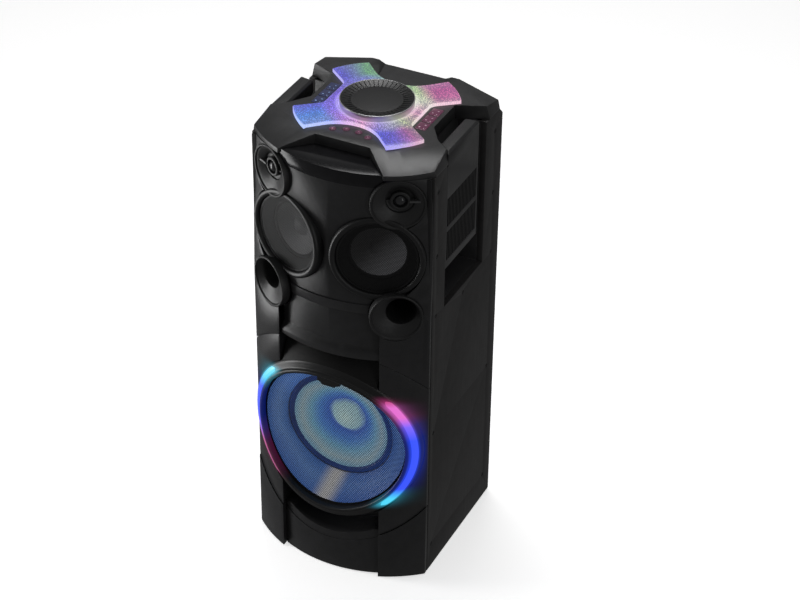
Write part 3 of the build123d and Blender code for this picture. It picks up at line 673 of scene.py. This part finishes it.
ring_profile = eased([(151, -42), (151, -2.5), (153.5, -0.3), (158, -0.6), (160, -6.5), (171.8, -9.5),
                      (176, -15), (176, -60), (171, -60), (171, -30), (156, -30), (156, -42)], 1.8)
built("woofer_ring_shape", [turned(ring_profile, 192, WOOFER_FRAME, bowed), ring_tab()], BLACK_LIT,
      "cabinet", ["woofer_ring"])
BROW_MATT = moulded("matt black moulding", (0.006, 0.006, 0.006), 0.62, Specular_IOR_Level=0.22)
built("woofer_brow", [brow()], BROW_MATT, "cabinet", ["woofer_ring"])


# ---- Light arcs ---------------------------------------------------------------------------------
# Two milky light guides let into the ring, lit from behind; each runs from pink through blue to cyan.
# Each is a moulded bar with a domed front and rounded ends.
def lit_arc():
    """Milky plastic that glows in the colours of the arcs."""
    paint = Paint("lit arc", Roughness=0.35, Emission_Strength=1.0)
    x, y, z = paint.axes()
    paint.feed("Emission Color", arc_colour(paint, x, z))
    milk = paint.noise(300.0, 2.0)
    paint.feed("Base Color", paint.mix(milk, (0.10, 0.10, 0.11), (0.13, 0.13, 0.14)))
    paint.bump(milk, 0.00005)
    return paint.material


LIT_ARC = lit_arc()


def arc_body(side):
    """The light guide: a domed bar along part of the ring, with rounded ends."""
    low, high = math.radians(-49), math.radians(46)
    middle = 165.8
    section = eased([(160.3, -12), (160.3, -6.4), (middle, -6.0), (171.2, -8.2), (171.2, -12)], 1.2)
    steps = 64
    slices = []
    for k in range(steps + 1):
        t = k / steps
        angle = low + (high - low) * t
        squeeze = min(1.0, math.sqrt(max(0.0, min(t, 1 - t)) * steps / 2.0 + 0.02))
        slices.append([])
        for radius, height in section:
            r = middle + (radius - middle) * squeeze
            flat = Vector((side * r * math.cos(angle), r * math.sin(angle), height)) * MM
            slices[-1].append(WOOFER_FRAME @ bowed(flat))
    return skinned(slices, capped=True)


for side, sign in SIDES:
    built("light_arc_" + side + "_shape", [arc_body(sign)], LIT_ARC, "cabinet", ["light_arc_" + side])


# ---- Perforated grilles ----------------------------------------------------------------------------
# Thin black steel sheet, punched with a close hexagonal pattern of holes, with a plain rim. The
# woofer's is bowed like the ring that holds it.
def perforating_tree(finish):
    """Lays hexagonal cells with a hole each, in staggered rows, inside a circle."""
    sheet = Tree("perforated sheet", [("Cell", "Object", None), ("Pitch", "Float", 0.003),
                                      ("Radius", "Float", 0.15), ("Count", "Int", 100)])
    given, maths = sheet.given, sheet.math
    grid = sheet.add("GeometryNodeMeshGrid", None,
                     {"Vertices X": given["Count"], "Vertices Y": given["Count"]})
    index = sheet.add("GeometryNodeInputIndex")
    column = maths("FLOOR", maths("DIVIDE", index, given["Count"]))
    row = maths("MODULO", index, given["Count"])
    half = maths("MULTIPLY", given["Count"], 0.5)
    shift = maths("MULTIPLY", maths("MODULO", row, 2.0), 0.5)
    x = maths("MULTIPLY", maths("SUBTRACT", maths("ADD", column, shift), half), given["Pitch"])
    y = maths("MULTIPLY", maths("MULTIPLY", maths("SUBTRACT", row, half), given["Pitch"]), math.sqrt(3) / 2)
    place = sheet.add("ShaderNodeCombineXYZ", None, {"X": x, "Y": y})
    laid = sheet.add("GeometryNodeSetPosition", None, {"Geometry": grid, "Position": place})
    distance = sheet.add("ShaderNodeVectorMath", {"operation": "LENGTH"}, {0: place}, "Value")
    outside = maths("GREATER_THAN", distance, given["Radius"])
    kept = sheet.add("GeometryNodeDeleteGeometry", {"domain": "POINT"},
                     {"Geometry": laid, "Selection": outside})
    cell = sheet.add("GeometryNodeObjectInfo", None, {"Object": given["Cell"]}, "Geometry")
    placed = sheet.add("GeometryNodeInstanceOnPoints", None, {"Points": kept, "Instance": cell})
    return sheet.end(placed, finish)


GRILLE_STEEL = moulded("grille paint", (0.010, 0.010, 0.0105), 0.48, grain=1600.0, depth=0.00005,
                       Specular_IOR_Level=0.26)
PERFORATED = perforating_tree(GRILLE_STEEL)


def punched_cell(pitch, hole):
    """One hexagonal cell, flat sides to its neighbours, with a six-sided hole."""
    outer = pitch / math.sqrt(3)
    points = [(radius * math.sin(angle), radius * math.cos(angle), 0)
              for radius in (outer, hole) for angle in around(6)]
    faces = [(k, (k + 1) % 6, 6 + (k + 1) % 6, 6 + k) for k in range(6)]
    mesh = bpy.data.meshes.new("cell")
    mesh.from_pydata(points, [], [face[::-1] for face in faces])
    cell = bpy.data.objects.new("cell", mesh)
    bpy.context.collection.objects.link(cell)
    return cell


def punched_disc(pitch, hole, radius):
    """Points and faces of a flat round punched sheet."""
    cell = punched_cell(pitch, hole)
    mesh = run_tree(PERFORATED, {"Cell": cell, "Pitch": pitch, "Radius": radius,
                                 "Count": int(2.4 * radius / pitch)})
    bpy.data.objects.remove(cell)
    points = [vert.co.copy() for vert in mesh.vertices]
    faces = [list(face.vertices) for face in mesh.polygons]
    bpy.data.meshes.remove(mesh)
    return points, faces


def grille_piece(name, flat, rim, place, bend, node):
    """A grille: the punched sheet and its plain rim, bent to shape."""
    points = [place @ bend(point) for point in flat[0]]
    rim_points, rim_faces = turned(rim, 160, place, bend)
    mesh = bpy.data.meshes.new(name)
    start = len(points)
    mesh.from_pydata([tuple(p) for p in points + rim_points], [],
                     flat[1] + [[start + index for index in face] for face in rim_faces])
    return finish_piece(name, mesh, GRILLE_STEEL, "cabinet", [node])


woofer_sheet = punched_disc(0.0034, 0.00135, 0.148)
grille_piece("woofer_grille_shape", woofer_sheet, [(146.5, 0.7), (150.6, 0.7), (150.6, -0.7), (146.5, -0.7)],
             WOOFER_FRAME, lambda p: bowed(p, -0.0158), "woofer_grille")


# ---- Funnel behind the grille ------------------------------------------------------------------
# A dished black moulding between the bowed ring and the round driver; its blue light is painted on as a glow,
# with a painted warm highlight low down. It shows only through the holes of the grille.
def painted_blue_light(name, base, stops, spots=0.0, shade=0.2):
    """Painted blue light from lamps round it, on dark moulding or paper, in rings about the woofer's axis.

    stops go from the middle outwards, 150 mm; spots adds a painted warm highlight wedge below and a
    painted spot of lamp light above, and shade paints shade over the right side.
    """
    paint = Paint(name, Roughness=0.5, Emission_Strength=1.0)
    x, y, z = paint.axes()
    dz = z - ARC_MIDDLE_Z
    radius = (x * x + dz * dz).math("SQRT")
    cloud = paint.noise(16.0, 3.0)
    rings = paint.node("ShaderNodeValToRGB", {"stops": stops},
                       {"Fac": radius / 0.150 + cloud * 0.10 - 0.05})["Color"]
    # painted shade over the right side
    with_painted_shade = paint.mix((x.step(-0.13, 0.11) * shade + cloud * 0.25).clamped(), rings, (0.03, 0.08, 0.33))
    below = (0 - dz).step(0.085, 0.118)
    # painted highlight: a warm wedge low down
    painted_highlight_wedge = (1 - (x + 0.006 - (dz + 0.118) * 0.25).math("ABSOLUTE").step(0.002, 0.032)) * below
    with_painted_highlight = paint.mix((painted_highlight_wedge * spots * 0.85).clamped(), with_painted_shade, (0.46, 0.44, 0.40))
    # painted spot of lamp light, up and to the left
    lamp = (1 - ((x + 0.075) * (x + 0.075) + (dz - 0.07) * (dz - 0.07)).math("SQRT").step(0.01, 0.07)) * spots
    paint.feed("Emission Color", paint.mix((lamp * 0.35).clamped(), with_painted_highlight, (0.12, 0.28, 0.80)))
    paint.feed("Base Color", paint.mix(cloud, base, tuple(c * 1.3 for c in base)))
    paint.bump(cloud, 0.0005)
    return paint.material


# Painted blue light in rings, with the painted highlight wedge and lamp spot.
FUNNEL_LIT = painted_blue_light("funnel", (0.02, 0.025, 0.04), [
    (0.70, (0.008, 0.02, 0.10)), (0.76, (0.05, 0.13, 0.34)), (0.86, (0.10, 0.20, 0.42)),
    (1.0, (0.05, 0.12, 0.34))], 1.0, 0.35)
FUNNEL_OUT, FUNNEL_IN, FUNNEL_FLOOR = 150.8, 111.0, 0.1205


def funnel_surface():
    """From the back of the ring, following its bow, in to the flat round opening of the driver."""
    rows = 14
    rings = []
    for j in range(rows + 1):
        t = j / rows
        radius = (FUNNEL_OUT + (FUNNEL_IN - FUNNEL_OUT) * t) * MM
        rings.append([])
        for angle in around(128):
            rim = bowed(Vector((FUNNEL_OUT * MM * math.cos(angle), 0, -0.018))).z
            depth = rim + (FUNNEL_FLOOR - rim) * (t ** 0.8)
            point = Vector((radius * math.cos(angle), radius * math.sin(angle), depth))
            rings[-1].append(WOOFER_FRAME @ point)
    return skinned(rings)


built("woofer_funnel_shape", [funnel_surface()], FUNNEL_LIT, "cabinet", ["woofer_funnel"])

# ---- Woofer cone, dust cap and surround --------------------------------------------------------
# A pressed paper cone with a domed cap, on a half-round rubber roll; it moves 6 mm in and out. The
# cap and the voice coil's tube are glued to the cone.
# The cone's blue light is painted on as a glow in rings; the pale middle is a painted highlight on the cap.
CONE_LIT = painted_blue_light("woofer cone", (0.05, 0.07, 0.10), [
    (0.0, (0.56, 0.74, 0.66)), (0.19, (0.38, 0.58, 0.58)), (0.26, (0.05, 0.12, 0.46)),
    (0.36, (0.08, 0.22, 0.55)), (0.46, (0.17, 0.38, 0.50)), (0.57, (0.32, 0.43, 0.43)),
    (0.68, (0.14, 0.32, 0.44))], 0.0, 0.1)
cone_profile = [(0, 97), (10, 96.6), (20, 94.6), (28, 91.0), (34, 86.5), (34.8, 84.5), (36, 85.0),
                (60, 99.0), (80, 109.5), (96, 117.4), (98, 118.4), (98, 116.8), (96.6, 116.8),
                (96.4, 115.6), (60, 97.2), (30, 80), (21, 74), (19.6, 74), (19.6, 30), (18.2, 30),
                (18.2, 76), (0, 80)]
built("woofer_cone_shape", [turned(cone_profile, 128, WOOFER_FRAME)], CONE_LIT, "woofer_cone",
      ["woofer_cone"])
# The roll's blue light is painted on as a glow, brighter outwards.
SURROUND_RUBBER = painted_blue_light("surround rubber", (0.01, 0.012, 0.02), [
    (0.0, (0.004, 0.008, 0.03)), (0.66, (0.008, 0.02, 0.08)), (0.74, (0.012, 0.03, 0.13)),
    (1.0, (0.02, 0.05, 0.2))])
ROLL_R = 5.6
roll = [(104 + ROLL_R * math.cos(math.radians(a)), 116.0 + ROLL_R * math.sin(math.radians(a)))
        for a in range(0, 181, 15)]
surround_profile = [(112, 119.6), (110, 119.6)] + roll + [(99.4, 115.0), (108.6, 115.0), (112, 117)]
built("woofer_surround_shape", [turned(surround_profile, 128, WOOFER_FRAME)], SURROUND_RUBBER, "cabinet",
      ["woofer_surround"])


# ---- Mid drivers -------------------------------------------------------------------------------
# Proud round rings turned outwards, a punched steel disc in each, and a paper cone in a black bowl
# behind it; the cone moves 2.5 mm in and out.
def aimed(side, x, y, z, turn):
    """Frame of a driver: local Z points out of the front, turned away from the middle; mm and degrees."""
    angle = math.radians(side * turn)
    across = Vector((math.cos(angle), math.sin(angle), 0))
    out = Vector((math.sin(angle), -math.cos(angle), 0))
    up = Vector((0, 0, 1))
    place = Matrix.Identity(4)
    for row in range(3):
        place[row][0], place[row][1], place[row][2] = across[row], up[row], out[row]
    place.translation = Vector((side * x, y, z)) * MM
    return place


def lit_inside(name, side, glow):
    """Cone paper with a painted patch of the light which falls through the grille on its lower right part."""
    paint = Paint(name, Roughness=0.6, Emission_Strength=1.0)
    x, y, z = paint.axes()
    across, up = x - side * MID_X * MM, z - MID_Z * MM
    # painted patch of light on the lower right of the cone
    lit = (across * 0.75 - up * 0.65).step(-0.030, 0.034)
    fibres = paint.noise(600.0, 2.0)
    paint.feed("Base Color", paint.mix(fibres, (0.035, 0.035, 0.036), (0.055, 0.055, 0.057)))
    paint.feed("Emission Color", paint.mix((lit * (fibres * 0.4 + 0.8)).clamped(),
                                           (0.004, 0.004, 0.004), glow))
    paint.bump(fibres, 0.0002)
    return paint.material


MID_X, MID_Z = 92.0, 727.0
# Brightness of the painted light patch on each mid cone; the left one is painted dimmer.
MID_GLOW = {1: (0.050, 0.050, 0.053), -1: (0.035, 0.035, 0.037)}
mid_sheet = punched_disc(0.0030, 0.0012, 0.0712)
mid_ring_profile = eased([(74, -24), (74, -6), (75.5, 1.4), (80, 3.6), (85, 2.6), (87, -2), (87, -24)], 2.2)
mid_cone_profile = [(0, -29.5), (8, -30.6), (15, -33.6), (17, -36.6), (18.4, -37), (49, -24.6), (50, -24.2),
                    (50, -27), (48.6, -27), (18, -39.5), (12.4, -46), (10.8, -46), (10.8, -60), (9.6, -60),
                    (9.6, -42), (0, -40)]
for side, sign in SIDES:
    MID = aimed(sign, MID_X, -150.0, MID_Z, 20.6)
    built("mid_ring_" + side + "_shape", [turned(mid_ring_profile, 128, MID)], BLACK, "cabinet",
          ["mid_ring_" + side])
    grille_piece("mid_grille_" + side + "_shape", mid_sheet,
                 [(70.4, -3.1), (73.6, -3.1), (73.6, -4.4), (70.4, -4.4)], MID,
                 lambda p: Vector((p.x, p.y, p.z - 0.0038 if p.z == 0 else p.z)), "mid_grille_" + side)
    built("mid_cone_" + side + "_shape", [turned(mid_cone_profile, 96, MID)],
          lit_inside("mid cone " + side, sign, MID_GLOW[sign]), "mid_cone_" + side, ["mid_cone_" + side])
dress("mid_surrounds", RUBBER)

# ---- Tweeter horns and ports ---------------------------------------------------------------------
# Round satin mouldings let into the columns. The tweeter's horn holds a ring with a small dome on
# one bar; the port is a flared tube into the box. Both mouths sit up and out of the middle, by 4 mm in
# the horn and 8 to 9 mm in the port.
HORN_SATIN = moulded("horn satin", (0.017, 0.017, 0.0175), 0.38, Specular_IOR_Level=0.40)
DOME_GLOSS = moulded("dome gloss", (0.02, 0.02, 0.022), 0.16, grain=2500.0, depth=0.00001)
# The bar's lighter grey is a painted highlight.
BAR_PAINTED_HIGHLIGHT = moulded("horn bar painted highlight", (0.055, 0.055, 0.056), 0.30)
MOUTH_MOVE = 4.0
PORT_OUT, PORT_UP = 9.0, 8.0


def flare(place, side, stations, out, up, steps=96):
    """A skin of rings (radius, height, share of the mouth's move out and up)."""
    return skinned([[place @ (Vector((radius * math.cos(angle) + side * out * pull,
                                      radius * math.sin(angle) + up * pull, height)) * MM)
                     for angle in around(steps)[:1 if radius == 0 else steps]]
                    for radius, height, pull in stations])


def dished(outer, mouth, depth):
    """The rim and dish of a horn or port, from its back edge over the lip down to the mouth."""
    lip = outer - 5.2
    rim = [(outer - 1, -14, 0), (outer, -12, 0), (outer, 0.5, 0), (outer - 0.5, 2.1, 0),
           (outer - 1.6, 2.9, 0), (outer - 3.2, 2.8, 0), (outer - 4.4, 1.8, 0), (lip, 0.0, 0.05)]
    return rim + [(lip + (mouth - lip) * t, depth * t ** 1.3, 0.05 + 0.95 * t)
                  for t in (i / 10 for i in range(1, 11))]


for side, sign in SIDES:
    TWEETER = aimed(sign, 126.0, -138.0, 843.0, 28.2)
    TWEETER_AXIS = TWEETER @ Matrix.Translation(Vector((sign * MOUTH_MOVE, MOUTH_MOVE, 0)) * MM)
    horn = dished(50.0, 26.0, -9.0) + [(24.6, -12, 1), (21, -13.4, 1), (20, -13.4, 1), (0, -13.4, 1)]
    holder_profile = eased([(18.6, -13), (18.6, -6.5), (16.6, -5), (13.4, -5), (12.6, -7),
                            (12.6, -13)], 0.9)
    stub_x = (-23.5, -16) if sign > 0 else (16, 23.5)
    built("tweeter_horn_" + side + "_shape",
          [flare(TWEETER, sign, horn, MOUTH_MOVE, MOUTH_MOVE),
           turned(holder_profile, 64, TWEETER_AXIS),
           slab(TWEETER_AXIS, stub_x, (-1.5, 1.5), (-12, -9))],
          HORN_SATIN, "cabinet", ["tweeter_horn_" + side])
    bar_x = (16, 37) if sign > 0 else (-37, -16)
    built("tweeter_bar_" + side, [slab(TWEETER_AXIS, bar_x, (-1.9, 1.9), (-10.5, -2.6))], BAR_PAINTED_HIGHLIGHT,
          "cabinet", [])
    dome = [(0, -3.4), (3, -3.6), (6, -4.6), (8.6, -6.4), (10, -8.6), (10.4, -10.5), (12.2, -10.9),
            (12.2, -14.4), (24, -14.4), (24, -34), (0, -34)]
    built("tweeter_dome_" + side, [turned(dome, 48, TWEETER_AXIS, closed=False)], DOME_GLOSS, "cabinet",
          ["tweeter_drivers"])
    PORT = aimed(sign, 129.0, -147.0, 611.0, 28.9)
    tube = dished(49.0, 28.0, -9.0) + [(27.2, -12, 1), (27, -16, 1), (27, -90, 1), (28.4, -90, 1),
                                       (28.8, -18, 1)]
    built("port_" + side + "_shape", [flare(PORT, sign, tube, PORT_OUT, PORT_UP)], HORN_SATIN, "cabinet",
          ["port_" + side])

# ---- Light panel ---------------------------------------------------------------------------------
# A frosted cross under the dial, 260 mm over its arms, with a fine dot screen, lit in many colours.
# It is one moulded cover with a rounded rim, over the board that carries the lamps.
DIAL_Y = 31.5
ARM_R = 150.7
CROSS_CORNERS = [23.6, 26.8, 30.5, 57.5, 61.35]
BOW_HALF, BOW_DEEP, BOW_NEAR = 56.0, 22.5, 80.0


def cross_radius(degrees):
    """Distance in mm from the dial's axis to the edge of the cross: straight sides, arms, bowed ends."""
    angle = abs((degrees + 180) % 360 - 180)
    angle = min(angle, 180 - angle)
    a = math.radians(angle)
    if angle <= CROSS_CORNERS[0]:
        return 87.0 / math.cos(a)

    def on_line(p, q):
        dx, dy = q[0] - p[0], q[1] - p[1]
        return (p[0] * dy - p[1] * dx) / (math.cos(a) * dy - math.sin(a) * dx)

    if angle <= CROSS_CORNERS[1]:
        return on_line((87, 38), (93, 47))
    if angle <= CROSS_CORNERS[2]:
        return on_line((93, 47), (129.8, 76.5))
    if angle <= CROSS_CORNERS[3]:
        return ARM_R
    if angle <= CROSS_CORNERS[4]:
        return on_line((81, 127.1), (56, 102.5))
    bow_r = (BOW_HALF ** 2 + BOW_DEEP ** 2) / (2 * BOW_DEEP)
    middle = BOW_NEAR + bow_r
    along = middle * math.sin(a)
    return along - math.sqrt(along ** 2 - middle ** 2 + bow_r ** 2)


def light_cross():
    """Side wall, rounded rim, gently rising face and the inner edge under the dial."""
    inner, rim_inset, face_z = 76.5, 2.2, 927.0
    corners = [value % 360 for corner in CROSS_CORNERS
               for value in (corner, 180 - corner, 180 + corner, 360 - corner)]
    angles = sorted({round(value, 3) for value in corners + [k * 1.5 for k in range(240)]})
    rings = []
    for inset, z in ((0.0, 916.0), (0.0, 925.2), (0.7, 926.4), (rim_inset, face_z)):
        rings.append([(cross_radius(d) - inset, z) for d in angles])
    for part in (0.85, 0.65, 0.45, 0.25, 0.12):
        rings.append([(inner + (cross_radius(d) - rim_inset - inner) * part, face_z + 1.2 * (1 - part) ** 2)
                      for d in angles])
    for station in ((inner, 928.2), (75.6, 928.3), (73.5, 928.1), (70.2, 927.6), (69.2, 926.8),
                    (69.2, 921.4), (60.0, 921.0), (60.0, 918.5), (70.0, 918.2), (74.0, 918.2),
                    (76.0, 916.0)):
        rings.append([station] * len(angles))
    turns = [(math.cos(math.radians(d)), math.sin(math.radians(d))) for d in angles]
    return skinned([[Vector((radius * across, DIAL_Y + radius * along, z)) * MM
                     for (across, along), (radius, z) in zip(turns, ring)] for ring in rings], closed=True)


def direction_colours(paint, dx, dy, stops):
    """Colours by direction from the dial: 0 at the left, a quarter at the front, a half at the right."""
    turn = dy.math("ARCTAN2", dx) / (2 * math.pi) + 0.5
    return paint.node("ShaderNodeValToRGB", {"stops": [(at, tint(*colour)) for at, colour in stops]},
                      {"Fac": turn})["Color"]


def lit_cross():
    """Colour by direction from the dial and by distance, over a fine dot screen."""
    paint = Paint("lit cross", Roughness=0.30, Emission_Strength=1.4, Specular_IOR_Level=0.35)
    x, y, z = paint.axes()
    dy = y - DIAL_Y * MM
    radius = (x * x + dy * dy).math("SQRT")
    arms = direction_colours(paint, x, dy, [
        (0.0, (105, 90, 225)), (0.09, (95, 110, 238)), (0.13, (80, 150, 245)), (0.165, (125, 165, 242)),
        (0.20, (90, 90, 230)), (0.33, (78, 85, 235)), (0.365, (110, 90, 215)), (0.40, (190, 105, 160)),
        (0.45, (185, 190, 140)), (0.56, (220, 190, 190)), (0.60, (216, 110, 160)), (0.635, (205, 88, 150)),
        (0.68, (222, 150, 185)), (0.80, (140, 200, 130)), (0.85, (118, 186, 112)), (0.88, (118, 140, 185)),
        (0.91, (98, 95, 225)), (1.0, (105, 90, 225))])
    round_dial = direction_colours(paint, x, dy, [
        (0.0, (128, 98, 235)), (0.12, (140, 118, 240)), (0.20, (185, 130, 220)), (0.27, (222, 150, 195)),
        (0.33, (165, 150, 228)), (0.42, (190, 200, 150)), (0.50, (232, 168, 195)), (0.57, (215, 215, 190)),
        (0.65, (190, 215, 150)), (0.75, (150, 208, 125)), (0.86, (125, 135, 210)), (1.0, (128, 98, 235))])
    cloud = paint.noise(28.0, 3.0)
    colour = paint.mix((radius + cloud * 0.02).step(0.092, 0.122), round_dial, arms)
    cells = paint.node("ShaderNodeTexVoronoi", {},
                       {"Vector": paint.place(), "Scale": 400.0, "Randomness": 0.7})
    screened = paint.mix(cells["Distance"].step(0.22, 0.55) * 0.72, colour, (0.02, 0.02, 0.08))
    pale = paint.mix(0.45, colour, (1.0, 0.95, 1.0))
    edge = (1 - z.step(0.9255, 0.9272)) * 0.55 + radius.band(0.072, 0.006) * 0.3
    paint.feed("Emission Color", paint.mix(edge.clamped(), screened, pale))
    paint.feed("Base Color", paint.mix(cells["Distance"], (0.06, 0.06, 0.07), (0.03, 0.03, 0.04)))
    paint.bump(cells["Distance"], 0.00015)
    return paint.material


built("light_panel_shape", [light_cross()], lit_cross(), "cabinet", ["light_panel"],
      30.0)

# ---- Dial -----------------------------------------------------------------------------------------
# A heavy jog dial that turns without end: a black dished cap with 44 ribs round a flat middle, in a
# rim of brushed metal.
DIAL_FRAME = Matrix.Translation(Vector((0, DIAL_Y, 0)) * MM)
DIAL_BLACK = moulded("dial black", (0.007, 0.007, 0.0075), 0.34, Specular_IOR_Level=0.42)
cap_profile = [(0, 934.0), (45.6, 934.0), (46.2, 933.9), (47, 934.1), (64.4, 937.3), (65.4, 937.8),
               (66.2, 937.9), (66.2, 924), (60, 924), (60, 932), (0, 932)]
DIAL_RIBS = 44


def dial_rib():
    """One radial rib, rising outwards with the dish, 1.7 mm wide with a rounded top."""
    section = [(-0.9, -0.6), (-0.7, 0.7), (-0.3, 1.0), (0.3, 1.0), (0.7, 0.7), (0.9, -0.6)]
    stations = ((47.0, 934.0), (48.5, 934.6), (61.5, 936.5), (64.0, 936.4))
    return skinned([[Vector((reach, y, floor + z)) * MM for y, z in section] for reach, floor in stations],
                   capped=True)


cap = mesh_of("cap", [turned(cap_profile, 128, DIAL_FRAME, closed=False)])
ribs = repeated(row_tree(DIAL_BLACK), mesh_of("rib", [dial_rib()]),
                [Vector((0, DIAL_Y, 0)) * MM] * DIAL_RIBS, 0.0, 2 * math.pi / DIAL_RIBS)
finish_piece("dial_cap", joined("dial_cap", [cap, ribs]), DIAL_BLACK, "dial", ["dial"])


def brushed_rim():
    """Turned metal: fine rings of scratches up the side."""
    paint = Paint("brushed rim", Metallic=0.85, Specular_IOR_Level=0.5)
    rings = paint.noise(40.0, 3.0, (0.4, 0.4, 60))
    paint.feed("Base Color", paint.mix(rings, (0.42, 0.42, 0.43), (0.66, 0.66, 0.67)))
    paint.feed("Roughness", rings * 0.14 + 0.24)
    paint.bump(rings, 0.00004)
    return paint.material


rim_profile = eased([(66.3, 923.0), (68, 923.0), (68, 937.2), (67.2, 938.0), (66.3, 938.0)], 0.5, 3)
built("dial_rim", [turned(rim_profile, 160, DIAL_FRAME)], brushed_rim(), "dial", ["dial"])


# ---- Keys --------------------------------------------------------------------------------------------
# Glossy caps let into the top plate, three each side of the dial and four round ones before it. Each
# goes down 0.8 mm, and each has a small lit mark: bars, a triangle, a ring or a square.
def painted_key_glow(colour):
    """A painted glow of coloured light over a key cap, a little uneven."""
    def spill(paint):
        cloud = paint.noise(90.0, 2.0)
        paint.feed("Emission Color", paint.mix(cloud, tuple(c * 0.6 for c in colour), colour))
    return spill


def mark_shape(kind, size):
    """Flat outlines of a mark, as lists of points in mm about its middle."""
    if kind == "ring":
        rim = [Vector((math.cos(k * math.pi / 6), math.sin(k * math.pi / 6))) for k in range(13)]
        outlines = [[rim[k], rim[k + 1], rim[k + 1] * 0.6, rim[k] * 0.6] for k in range(12)]
    else:
        outlines = {"bars": [[(-1, -1), (-0.3, -1), (-0.3, 1), (-1, 1)],
                             [(0.3, -1), (1, -1), (1, 1), (0.3, 1)]],
                    "triangle": [[(-0.8, -1), (1, 0), (-0.8, 1)]],
                    "square": [[(-1, -1), (1, -1), (1, 1), (-1, 1)]]}[kind]
    return [[Vector(point) * size for point in outline] for outline in outlines]


def marks(node, finish, shapes):
    """Raised lit marks on a key: shapes are (kind, size, x, y) about the middle of the key's top."""
    low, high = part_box(node)
    middle = (low + high) / 2
    parts = []
    for kind, size, x, y in shapes:
        for outline in mark_shape(kind, size):
            parts.append(skinned([[Vector((middle.x + (x + px) * MM, middle.y + (y + py) * MM, high.z + lift))
                                   for px, py in outline] for lift in (0.00005, -0.0003)], capped=True))
    built(node + "_marks", parts, finish, node, [])


def lit_mark(name, colour):
    """A printed mark with its lamp behind it."""
    paint = Paint(name, Roughness=0.4, Emission_Strength=1.0)
    grain = paint.noise(900.0, 2.0)
    paint.feed("Emission Color", paint.mix(grain, tuple(c * 0.7 for c in colour), colour))
    paint.feed("Base Color", paint.mix(grain, (0.2, 0.2, 0.2), (0.3, 0.3, 0.3)))
    return paint.material


KEY_KINDS = ["triangle", "square", "bars", "ring"]
# Per group: colour of the painted glow on the caps, colour of the lit marks, mark size in mm.
for group, count, spill, mark, size in (("right", 3, tint(92, 22, 62), tint(190, 140, 165), 1.4),
                                        ("left", 3, tint(14, 28, 78), tint(70, 125, 190), 1.4),
                                        ("front", 4, tint(78, 20, 54), tint(165, 60, 115), 1.3)):
    finish = moulded("key gloss " + group, (0.012, 0.012, 0.013), 0.24, glow=painted_key_glow(spill),
                     Emission_Strength=1.0)
    lit = lit_mark("key mark " + group, mark)
    for number in range(1, count + 1):
        node = f"key_{group}_{number}"
        eased_copy(node, 0.0008, finish, body=node)
        kind = KEY_KINDS[number % 4]
        if group == "front":
            marks(node, lit, [(kind, size, 0, 0)])
        else:
            other = KEY_KINDS[(number + 1) % 4]
            marks(node, lit, [(kind, size, -4, -5), (other, size, 4, 4), ("square", 0.8, 5, -7)])
